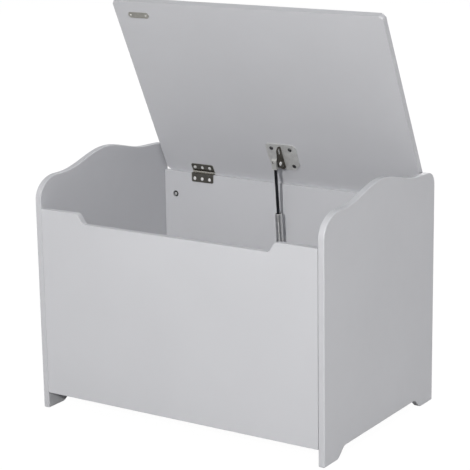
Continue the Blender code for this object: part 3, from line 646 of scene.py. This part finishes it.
def leaf_steps(first, pivot, low_yz, high_yz, hole_starts, inward):
    """A leaf's knuckles, pin bore and countersunk holes, as steps for make_mesh."""
    gaps, rolls, bore, holes = (bmesh.new() for _ in range(4))
    knuckle_gaps(gaps, 1 - first, low_yz, high_yz)
    knuckle_rolls(rolls, first, pivot)
    half = HINGE_HALF + OVERCUT
    add_cylinder(bore, (-half, *pivot), (half, *pivot), HINGE_BORE_R, 16)
    sunk = [(0.0036, -0.0005), (0.0036, 0.0), (0.0021, 0.0009), (0.0021, 0.0030)]
    for start in hole_starts:
        add_turned(holes, sunk, frame_to(start, inward, X), 24)
    return [(gaps, "DIFFERENCE"), (rolls, "UNION"), (bore, "DIFFERENCE"), (holes, "DIFFERENCE")]


def hinge_meshes():
    """Both leaves about X = 0: the fixed one where it stands, the other in the lid's frame."""
    columns = (-HINGE_SCREW_PITCH, 0, HINGE_SCREW_PITCH)
    front, shelf = BACK_FACE - TOUCH - LEAF, PANEL_TOP + TOUCH
    bend = arc((front + LEAF_BEND, shelf + LEAF - LEAF_BEND), (LEAF_BEND, LEAF_BEND), 90, 180, 6)
    low_z = PANEL_TOP - LEAF_DROP
    section = [(front, low_z), (front + LEAF, low_z)]
    section += [(front + LEAF, shelf), (AXIS_Y, shelf), (AXIS_Y, shelf + LEAF)] + bend
    bm = bmesh.new()
    add_prism(bm, section, frame_to((-HINGE_HALF, 0, 0), X, Y), 2 * HINGE_HALF)
    round_corner_edges(bm, lambda c, d: abs(d.y) > 0.9 and abs(c.z - low_z) < 1e-5, LEAF_CORNER)
    clear = KNUCKLE_R + TOUCH
    gap_low, gap_high = (AXIS_Y - clear, shelf - OVERCUT), (AXIS_Y + OVERCUT, AXIS_Z)
    starts = [(x, front, PANEL_TOP - HINGE_SCREW_DROP) for x in columns]
    steps = leaf_steps(0, (AXIS_Y, AXIS_Z), gap_low, gap_high, starts, Y)
    fixed = make_mesh("hinge_leaf_fixed", bm, steps, LEAF_ROUNDING, 2)

    top = LID_RISE - TOUCH
    bm = bmesh.new()
    add_box(bm, (-HINGE_HALF, -LEAF_REACH, top - LEAF), (HINGE_HALF, 0.0, top))
    round_corner_edges(bm, lambda c, d: abs(d.z) > 0.9 and abs(c.y + LEAF_REACH) < 1e-5, LEAF_CORNER)
    gap_low, gap_high = (-clear, top - LEAF - OVERCUT), (OVERCUT, top + OVERCUT)
    starts = [(x, -HINGE_SCREW_REACH, top - LEAF) for x in columns]
    steps = leaf_steps(1, (0.0, 0.0), gap_low, gap_high, starts, Z)
    return fixed, make_mesh("hinge_leaf_lid", bm, steps, LEAF_ROUNDING, 2)


def hinges():
    fixed, moving = hinge_meshes()
    pin = bmesh.new()
    profile = [(0.0, -HINGE_HALF), (0.0009, 0.0001 - HINGE_HALF), (0.0013, 0.0004 - HINGE_HALF)]
    profile += [(radius, -height) for radius, height in reversed(profile)]
    add_turned(pin, profile, frame_to((0, 0, 0), X, Y), 20)
    pin_mesh = make_mesh("hinge_pin", pin)
    leaf_looks = ("hinge", "knuckle")

    def painted_highlight_rolls_about(y, z):
        """Picks the brighter look, a painted highlight, for the faces of the knuckles round that pivot."""
        return lambda face: int(hypot(face.center.y - y, face.center.z - z) < KNUCKLE_R + KNUCKLE_GAP)

    for side, sign in (("left", -1), ("right", 1)):
        shift = Matrix.Translation((sign * HINGE_X, 0, 0))
        axis = Matrix.Translation((sign * HINGE_X, AXIS_Y, AXIS_Z))
        node = f"{side}_hinge_fixed_leaf"
        roll = painted_highlight_rolls_about(AXIS_Y, AXIS_Z)
        add_piece(f"{side}_leaf_fixed", fixed, shift, "carcass", node, leaf_looks, roll)
        node = f"{side}_hinge_lid_leaf"
        roll = painted_highlight_rolls_about(0.0, 0.0)
        add_piece(f"{side}_leaf_lid", moving, LID @ shift, "lid", node, leaf_looks, roll)
        add_piece(f"{side}_pin", pin_mesh, axis, "carcass", f"{side}_hinge_pin", ["steel"])


def screw_mesh(rim):
    """Pan head with a cross recess, ringed thread; local Z points out of the board."""
    top = SCREW_LENGTH + TOUCH
    profile = [(0.0, 0.0), (0.0005, 0.0006)]
    rings = 9
    for k in range(rings):
        base = 0.0012 + k * (SCREW_LENGTH - 0.0028) / rings
        profile += [(0.00105, base), (SCREW_R, base + 0.0004)]
    profile += [(0.0011, SCREW_LENGTH - 0.0014), (0.0011, SCREW_LENGTH - 0.0006), (SCREW_R, top)]
    profile += [(rim - 0.0002, top), (rim, top + 0.0002), (rim, top + 0.0005)]
    profile += [(rim * 0.92, top + 0.0009), (rim * 0.70, top + 0.0012)]
    profile += [(rim * 0.40, top + 0.00132), (0.0, top + 0.00135)]
    bm = bmesh.new()
    add_turned(bm, profile, IDENTITY, 24)
    recess = bmesh.new()
    add_prism(recess, cross_outline(0.0017, 0.00038), Matrix.Translation((0, 0, top + 0.0005)), 0.002)
    dimple = bmesh.new()
    add_turned(dimple, [(0.0003, top + 0.0004), (0.00105, top + 0.0016)], IDENTITY, 12)
    return make_mesh("screw", bm, [(recess, "DIFFERENCE"), (dimple, "DIFFERENCE")])


def screws():
    turn = 0.0

    def drive(label, places, seat, out, home, body, mesh, look):
        """One screw at each place, each turned a little further than the last."""
        nonlocal turn
        for count, place in enumerate(places, 1):
            turn += 0.61
            spot = frame_to(seat(place) - out * SCREW_LENGTH, out, X)
            matrix = home @ spot @ Matrix.Rotation(turn, 4, "Z")
            add_piece(f"{label}_{count}_head", mesh, matrix, body, f"{label}_{count}", [look])

    def on_back(thickness):
        return lambda p: Vector((p[0], BACK_FACE - TOUCH - thickness, p[1]))

    def on_lid(thickness):
        return lambda p: Vector((p[0], p[1], LID_RISE - TOUCH - thickness))

    bright, dark = screw_mesh(HINGE_HEAD_R), screw_mesh(BRACKET_HEAD_R)
    back, lid = (-Y, IDENTITY, "carcass"), (-Z, LID, "lid")
    drive("hinge_body_screw", HINGE_BODY_SCREWS, on_back(LEAF), *back, bright, "steel")
    drive("body_bracket_screw", BODY_BRACKET_SCREWS, on_back(PLATE), *back, dark, "screw")
    drive("hinge_lid_screw", HINGE_LID_SCREWS, on_lid(LEAF), *lid, bright, "steel")
    drive("lid_bracket_screw", LID_BRACKET_SCREWS, on_lid(PLATE), *lid, dark, "screw")


def bracket(name, plate_frame, lug_frame, lug_outline, lug_holes, home, body, node):
    """A slotted plate with its upright lug, as one piece."""
    bm = bmesh.new()
    add_prism(bm, chamfered_rectangle(*PLATE_HALF, PLATE_CHAMFERS), plate_frame, PLATE)
    lug, cuts = bmesh.new(), bmesh.new()
    add_prism(lug, lug_outline, lug_frame, LUG)
    below = Matrix.Translation((0, 0, -OVERCUT))
    for centre in CORNERS:
        add_prism(cuts, slot_outline(centre, *SLOT_HALF), plate_frame @ below, PLATE + 2 * OVERCUT)
    for outline in lug_holes:
        add_prism(cuts, outline, lug_frame @ below, LUG + 2 * OVERCUT)
    mesh = make_mesh(name, bm, [(lug, "UNION"), (cuts, "DIFFERENCE")], PLATE_ROUNDING, 2)
    out = plate_frame.to_3x3() @ Z
    lower = -(plate_frame.to_3x3() @ Y)
    seat = plate_frame.translation.dot(out) + PLATE + 0.0004

    def choose(face):
        """The lug is the darker one, and the plate's lower edges get the same dark look as painted shade."""
        return 1 if face.center.dot(out) > seat or face.normal.dot(lower) > 0.3 else 0

    add_piece(name, mesh, home, body, node, ["nickel", "lug"], choose)


def pivot_pin(name, grip_start, y, z, home, body, node):
    """A headed pin along X that grips from grip_start to the lug's right face."""
    start = grip_start - PIN_PLAY - PIN_HEAD
    high = LUG / 2 + PIN_PLAY - start
    rim = PIN_HEAD_R
    profile = [(0.0, 0.0), (rim * 0.8, 0.0001), (rim, 0.0005), (rim, PIN_HEAD), (PIN_R, PIN_HEAD)]
    profile += [(PIN_R, high), (rim, high), (rim, high + 0.0005), (rim * 0.88, high + 0.0010)]
    profile += [(rim * 0.6, high + 0.0014), (rim * 0.3, high + 0.0016), (0.0, high + 0.0016)]
    bm = bmesh.new()
    add_turned(bm, profile, frame_to((start, y, z), X, Y), 28)
    add_piece(name, make_mesh(name, bm), home, body, node, ["steel"])


def brackets():
    face = LID_RISE - TOUCH
    base = PLATE / 2
    pivot = (ANCHOR_REACH, ANCHOR_DROP + face)
    points = [(LUG_FOOT[0], base), (LUG_FOOT[1], base)] + circle(LUG_HEEL, LUG_HEEL_R)
    outline = hull(points + circle(pivot, LUG_EYE_R) + circle(LUG_TOE, LUG_TOE_R))
    holes = [circle(pivot, PIN_R + TOUCH), circle(LUG_HEEL_HOLE, LUG_HEEL_HOLE_R)]
    holes.append(slot_outline(LUG_SLOT, *LUG_SLOT_HALF))
    plate_frame = frame_to((0, -PLATE_REACH, face), -Z, X)
    lug_frame = frame_to((-LUG / 2, 0, face), X, -Y)
    bracket("lid_stay_bracket", plate_frame, lug_frame, outline, holes, LID, "lid", "lid_bracket")
    pivot_pin("lid_stay_rivet", -LUG / 2, -ANCHOR_REACH, -ANCHOR_DROP, LID, "lid", "lid_bracket_pin")

    face = BACK_FACE - TOUCH
    pivot = (face - FOOT_PIVOT[0], 0.0)
    outline = hull([(base, -BODY_LUG_HALF), (base, BODY_LUG_HALF)] + circle(pivot, LUG_EYE_R))
    plate_frame = frame_to((0, face, FOOT_PIVOT[1]), -Y, X)
    lug_frame = frame_to((-LUG / 2, face, FOOT_PIVOT[1]), X, -Y)
    holes = [circle(pivot, PIN_R + TOUCH)]
    home, body = IDENTITY, "carcass"
    bracket("body_stay_bracket", plate_frame, lug_frame, outline, holes, home, body, "body_bracket")
    pivot_pin("body_stay_rivet", END_LEFT, *FOOT_PIVOT, home, body, "body_bracket_pin")


def stay_tube():
    """A hollow tube with a turned-in foot, two pressed rings and a rolled top."""
    floor = TUBE_START + 0.004
    profile = [(0.0, TUBE_START), (TUBE_R - 0.0010, TUBE_START), (TUBE_R - 0.0003, TUBE_START + 0.0003)]
    profile += [(TUBE_R, TUBE_START + 0.0010)]
    for height in (TUBE_START + 0.006, TUBE_END - RING_DROP):
        profile += [(TUBE_R, height - 0.0011), (TUBE_R - 0.0007, height - 0.0008), (TUBE_R - 0.0008, height)]
        profile += [(TUBE_R - 0.0007, height + 0.0008), (TUBE_R, height + 0.0011)]
    profile += [(TUBE_R, TUBE_END - 0.0016)]
    profile += arc((TUBE_R - TUBE_LIP, TUBE_END - TUBE_LIP), (TUBE_LIP, TUBE_LIP), 10, 80, 5)
    profile += [(TUBE_INNER - 0.0003, TUBE_END), (TUBE_INNER - 0.0002, TUBE_END - 0.0006)]
    profile += [(TUBE_INNER, TUBE_END - 0.0010), (TUBE_INNER, floor), (0.0, floor)]
    bm = bmesh.new()
    add_turned(bm, profile, STRUT_MIDDLE, 48)
    tube = make_mesh("stay_tube", bm)
    add_piece("stay_tube", tube, STRUT, "strut_cylinder", "strut_tube", ["tube"])


def stay_guide():
    """The ring that closes the tube's top round the rod."""
    top = TUBE_END - GUIDE_DEPTH
    bm = bmesh.new()
    add_cylinder(bm, (STRUT_X, 0, top - GUIDE_LENGTH), (STRUT_X, 0, top), TUBE_INNER - TOUCH, 40)
    bore = bmesh.new()
    low = (STRUT_X, 0, top - GUIDE_LENGTH - OVERCUT)
    add_cylinder(bore, low, (STRUT_X, 0, top + OVERCUT), ROD_R + TOUCH, 40)
    guide = make_mesh("stay_guide", bm, [(bore, "DIFFERENCE")], 0.0003, 2)
    add_piece("stay_guide", guide, STRUT, "strut_cylinder", "strut_rod_guide", ["plastic"])


def stay_rod():
    """The rod, with the grooved piston turned on its inner end."""
    outer = TUBE_INNER - TOUCH
    groove = outer - 0.0009
    piston, end = ROD_INNER_END - PISTON_LENGTH, STRUT_LENGTH - ROD_SOCKET
    profile = [(0.0, piston), (outer - 0.0004, piston), (outer, piston + 0.0004)]
    profile += [(outer, piston + 0.0028), (groove, piston + 0.0030), (groove, piston + 0.0044)]
    profile += [(outer, piston + 0.0046), (outer, ROD_INNER_END - 0.0004)]
    profile += [(outer - 0.0004, ROD_INNER_END), (ROD_R, ROD_INNER_END)]
    profile += [(ROD_R, end - 0.0004), (ROD_R - 0.0004, end), (0.0, end)]
    bm = bmesh.new()
    add_turned(bm, profile, STRUT_MIDDLE, 36)
    rod = make_mesh("stay_rod", bm)
    add_piece("stay_rod", rod, STRUT, "strut_piston_rod", "strut_rod", ["rod"])


def stay_lower_end():
    """The eye block under the tube, on the lower pivot."""
    seat = TUBE_START - TOUCH
    outline = arc((0.0, 0.0), (END_CHEEK, END_CHEEK), 180, 360, 24)
    outline += [(END_CHEEK, seat), (-END_CHEEK, seat)]
    bm = bmesh.new()
    add_prism(bm, outline, frame_to((END_LEFT, 0, 0), X, Y), END_WIDTH)
    bore = bmesh.new()
    add_cylinder(bore, (STRUT_X - 0.01, 0, 0), (STRUT_X + 0.01, 0, 0), PIN_R + TOUCH, 28)
    mesh = make_mesh("stay_lower_end", bm, [(bore, "DIFFERENCE")], 0.0005, 3)
    add_piece("stay_lower_end", mesh, STRUT, "strut_cylinder", "strut_tube_end", ["end"])


def stay_upper_end():
    """The eye block on the rod, beside the lid bracket's lug, with a grub screw's hole."""
    foot = STRUT_LENGTH - ROD_END_FOOT
    outline = [(-END_CHEEK, foot), (END_CHEEK, foot)]
    outline += arc((0.0, STRUT_LENGTH + ROD_END_NOSE), (END_CHEEK, END_CHEEK), 0, 180, 24)
    bm = bmesh.new()
    add_prism(bm, outline, frame_to((END_LEFT, 0, 0), X, Y), END_WIDTH)
    pin_hole, grub_hole, socket = bmesh.new(), bmesh.new(), bmesh.new()
    left = END_LEFT - OVERCUT
    add_cylinder(pin_hole, (left, 0, STRUT_LENGTH), (left + 0.004, 0, STRUT_LENGTH), PIN_R, 28)
    grub_x, grub_z = END_LEFT + GRUB_INSET, STRUT_LENGTH + GRUB_RISE
    add_cylinder(grub_hole, (grub_x, -0.006, grub_z), (grub_x, 0.0, grub_z), GRUB_HOLE_R, 28)
    socket_top = STRUT_LENGTH - ROD_SOCKET + TOUCH
    add_cylinder(socket, (STRUT_X, 0, foot - OVERCUT), (STRUT_X, 0, socket_top), ROD_R + TOUCH, 28)
    steps = [(pin_hole, "DIFFERENCE"), (grub_hole, "DIFFERENCE"), (socket, "DIFFERENCE")]
    mesh = make_mesh("stay_upper_end", bm, steps, 0.0006, 3)

    def choose(face):
        """The grub screw's hole gets the darker look as painted shade in the recess."""
        from_axis = hypot(face.center.x - grub_x, face.center.z - grub_z)
        return int(face.center.y > 0.0004 - END_CHEEK and from_axis < GRUB_HOLE_R + 0.0002)

    body, looks = "strut_piston_rod", ["end", "lug"]
    add_piece("stay_upper_end", mesh, STRUT, body, "strut_rod_end", looks, choose)


def stay():
    """Tube, guide, rod and the two end blocks, along local +Z of the lower pivot."""
    stay_tube()
    stay_guide()
    stay_rod()
    stay_lower_end()
    stay_upper_end()


def cam_mesh():
    """Local Z points out of the panel's face and local X at the bolt."""
    face, trench, boss = CAM_DEPTH - 0.0002, CAM_DEPTH - CAM_TRENCH, CAM_R - CAM_RING
    profile = [(0.0, 0.0), (CAM_R - 0.0003, 0.0), (CAM_R, 0.0003), (CAM_R, trench), (boss, trench)]
    profile += [(boss, face - 0.0004), (boss - 0.0002, face - 0.0001)]
    profile += [(boss - 0.0005, face), (0.0, face)]
    bm = bmesh.new()
    add_turned(bm, profile, IDENTITY, 48)
    cross, dimple, mouth = (bmesh.new() for _ in range(3))
    recess = Matrix.Translation((0, 0, face - 0.0018))
    add_prism(cross, cross_outline(0.0019, 0.0005), recess, 0.004)
    add_turned(dimple, [(0.0006, face - 0.0021), (0.0013, face + 0.001)], IDENTITY, 16)
    bolt = CAM_DEPTH - BOARD / 2
    add_cylinder(mouth, (CAM_R + OVERCUT, 0, bolt), (-0.002, 0, bolt), CAM_MOUTH_R, 20)
    steps = [(cross, "DIFFERENCE"), (dimple, "DIFFERENCE"), (mouth, "DIFFERENCE")]
    return make_mesh("cam", bm, steps)


def cams():
    """Four in each upright panel: lower and upper at the left, then at the right."""
    mesh, looks = cam_mesh(), ["zinc", "ring"]

    def choose(face):
        """The ring round the boss gets the dark look, painted shade in the trench."""
        return int(hypot(face.center.x, face.center.y) > CAM_R - CAM_RING - 0.0001)

    rows = (("front", BOARD / 2 - HALF_DEPTH, Y), ("back", HALF_DEPTH - BOARD / 2, -Y))
    for label, y, out in rows:
        places = [(sign, z) for sign in (-1, 1) for z in CAM_HEIGHTS]
        for count, (sign, z) in enumerate(places, 1):
            base = Vector((sign * CAM_X, y, z)) + out * (BOARD / 2 - CAM_DEPTH)
            matrix = frame_to(base, out, X * sign)
            node = f"{label}_cam_{count}"
            add_piece(f"{node}_disc", mesh, matrix, "carcass", node, looks, choose)


def label_rivet_mesh():
    """A domed rivet; local Z points out of the lid, from the rivet's inner end."""
    seat = RIVET_DEPTH + LABEL_THICKNESS + TOUCH
    profile = [(0.0, 0.0), (0.001, 0.0003), (0.001, seat), (0.0021, seat), (0.0021, seat + 0.0002)]
    profile += [(0.0018, seat + 0.0005), (0.0010, seat + 0.0007), (0.0, seat + 0.0008)]
    rivet = bmesh.new()
    add_turned(rivet, profile, IDENTITY, 24)
    return make_mesh("label_rivet", rivet)


def label_plate():
    """Blank plate with pointed round ends, a raised rim line, and two domed rivets."""
    face = LID_RISE - TOUCH
    half_a, half_b = LABEL_HALF
    shoulder, nose = half_a - LABEL_SHOULDER, half_a - LABEL_NOSE_R
    points = [(s * shoulder, t * half_b) for s in (-1, 1) for t in (-1, 1)]
    for sign in (-1, 1):
        points += circle((sign * nose, 0.0), LABEL_NOSE_R)
    outline = hull(points)
    matrix = frame_to((LABEL_AT[0], -LABEL_AT[1], face), -Z, X)
    bm = bmesh.new()
    add_prism(bm, outline, matrix, LABEL_THICKNESS)
    inner = [(a * 0.93, b * 0.80) for a, b in outline]
    panel, holes = bmesh.new(), bmesh.new()
    sunk = matrix @ Matrix.Translation((0, 0, LABEL_THICKNESS - LABEL_SUNK))
    add_prism(panel, inner, sunk, OVERCUT)
    rivet = label_rivet_mesh()
    for count, x in enumerate(LABEL_RIVETS, 1):
        low = (x, -LABEL_AT[1], face - LABEL_THICKNESS - OVERCUT)
        add_cylinder(holes, low, (x, -LABEL_AT[1], face + 0.0002), RIVET_HOLE_R, 20)
        spot = LID @ frame_to((x, -LABEL_AT[1], face + RIVET_DEPTH), -Z, X)
        node = f"label_rivet_{count}"
        add_piece(f"{node}_head", rivet, spot, "lid", node, ["rivet"])
    steps = [(panel, "DIFFERENCE"), (holes, "DIFFERENCE")]
    mesh = make_mesh("blank_label", bm, steps, 0.0001, 2)
    add_piece("blank_label", mesh, LID, "lid", "label_plate", ["label"])


def dress_hidden_nodes():
    """The bolts inside the boards keep their CAD shape and get the steel finish."""
    for name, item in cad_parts.items():
        if "cam_bolt" in name:
            item.data.materials.clear()
            item.data.materials.append(LOOKS["steel"])


# ---------------------------------------------------------------- stage

FLOOR_WHITE, FLOOR_HALF, FLOOR_DROP = (0.48, 0.48, 0.48), 14, 0.0001
FLOOR_GLOW, FLOOR_GLOW_STRENGTH = 0.90, 1.09
WORLD_LIGHT, WORLD_WHITE = 0.30, 1.05
WORLD_TINT = (0.955, 0.962, 1.0)
LAMP_TINT = (1.0, 0.992, 0.970)
CAMERA_AT = (1.6649, -2.5652, 1.0945)
CAMERA_AZIMUTH, CAMERA_ELEVATION, CAMERA_ROLL = radians(33.012), radians(14.172), radians(-0.871)
CAMERA_LENS = 133.1


def studio_floor():
    """A plain pale floor that reads nearly white to the camera."""
    bm = bmesh.new()
    add_box(bm, (-FLOOR_HALF, -FLOOR_HALF, -0.02), (FLOOR_HALF, FLOOR_HALF, -FLOOR_DROP))
    item = raw_object("studio_floor", bm)
    m = Nodes("pale_floor", FLOOR_WHITE, 0.75, specular=0.1)
    nodes, links = m.tree.nodes, m.tree.links
    glow = nodes.new("ShaderNodeEmission")
    glow.inputs["Color"].default_value = (1.0, 1.0, 1.0, 1.0)
    glow.inputs["Strength"].default_value = FLOOR_GLOW_STRENGTH
    seen = nodes.new("ShaderNodeLightPath")
    share = nodes.new("ShaderNodeMath")
    share.operation = "MULTIPLY"
    share.inputs[1].default_value = FLOOR_GLOW
    links.new(seen.outputs["Is Camera Ray"], share.inputs[0])
    mix = nodes.new("ShaderNodeMixShader")
    links.new(share.outputs[0], mix.inputs["Fac"])
    links.new(m.shader.outputs["BSDF"], mix.inputs[1])
    links.new(glow.outputs["Emission"], mix.inputs[2])
    links.new(mix.outputs["Shader"], nodes["Material Output"].inputs["Surface"])
    item.data.materials.append(m.material)


def studio_world():
    """White to the camera, and a softer even light for the object."""
    world = bpy.data.worlds.new("studio")
    bpy.context.scene.world = world
    world.use_nodes = True
    nodes, links = world.node_tree.nodes, world.node_tree.links
    seen = nodes.new("ShaderNodeLightPath")
    light = nodes["Background"]
    light.inputs["Color"].default_value = (*WORLD_TINT, 1.0)
    light.inputs["Strength"].default_value = WORLD_LIGHT
    white = nodes.new("ShaderNodeBackground")
    white.inputs["Color"].default_value = (1.0, 1.0, 1.0, 1.0)
    white.inputs["Strength"].default_value = WORLD_WHITE
    mix = nodes.new("ShaderNodeMixShader")
    links.new(seen.outputs["Is Camera Ray"], mix.inputs["Fac"])
    links.new(light.outputs["Background"], mix.inputs[1])
    links.new(white.outputs["Background"], mix.inputs[2])
    links.new(mix.outputs["Shader"], nodes["World Output"].inputs["Surface"])


def area_light(name, azimuth, elevation, distance, size, power, target=(0, 0, 0.25)):
    """A round lamp. Azimuth is from the front towards the right end, in degrees."""
    a, e = radians(azimuth), radians(elevation)
    away = Vector((sin(a) * cos(e), -cos(a) * cos(e), sin(e)))
    data = bpy.data.lights.new(name, "AREA")
    data.shape = "DISK"
    data.size = size
    data.energy = power
    data.color = LAMP_TINT
    item = bpy.data.objects.new(name, data)
    bpy.context.scene.collection.objects.link(item)
    item.location = Vector(target) + away * distance
    item.rotation_euler = away.to_track_quat("Z", "Y").to_euler()


def studio_lights():
    """The key from the front, weak fills, a lamp on each end, and one behind."""
    area_light("key", azimuth=15, elevation=24, distance=3.0, size=0.10, power=48)
    area_light("front_fill", azimuth=-20, elevation=20, distance=3.6, size=0.9, power=5)
    area_light("high", 0, 50, distance=1.5, size=1.0, power=2.2, target=(0, -0.1, 0.3))
    area_light("low_right", 90, 0, distance=5, size=0.55, power=58, target=(0.3, 0, 0.32))
    area_light("high_right", 80, 42, distance=1.8, size=1.0, power=4, target=(0.3, 0, 0.3))
    area_light("left", azimuth=-95, elevation=3, distance=5, size=0.9, power=60)
    area_light("back", azimuth=195, elevation=25, distance=6, size=2.0, power=150)


def studio_camera():
    """Placed and turned by the named values, with no shift and no depth of field."""
    level = cos(CAMERA_ELEVATION)
    back = Vector((sin(CAMERA_AZIMUTH) * level, -cos(CAMERA_AZIMUTH) * level, sin(CAMERA_ELEVATION)))
    right = Z.cross(back).normalized()
    up = back.cross(right)
    across = right * cos(CAMERA_ROLL) + up * sin(CAMERA_ROLL)
    upright = up * cos(CAMERA_ROLL) - right * sin(CAMERA_ROLL)
    data = bpy.data.cameras.new("camera")
    data.sensor_width = 36.0
    data.lens = CAMERA_LENS
    data.clip_end = 100.0
    item = bpy.data.objects.new("camera", data)
    bpy.context.scene.collection.objects.link(item)
    turn = Matrix((across, upright, back)).transposed().to_4x4()
    item.matrix_world = Matrix.Translation(CAMERA_AT) @ turn
    bpy.context.scene.camera = item


# ---------------------------------------------------------------- the whole scene

side_board("left_side_board", -1, "left_side_panel")
side_board("right_side_board", 1, "right_side_panel")
front_board()
back_board()
floor_board()
lid_board()
hinges()
screws()
brackets()
stay()
cams()
label_plate()
dress_hidden_nodes()
studio_floor()
studio_world()
studio_lights()
studio_camera()
bpy.context.scene.view_settings.view_transform = "Standard"
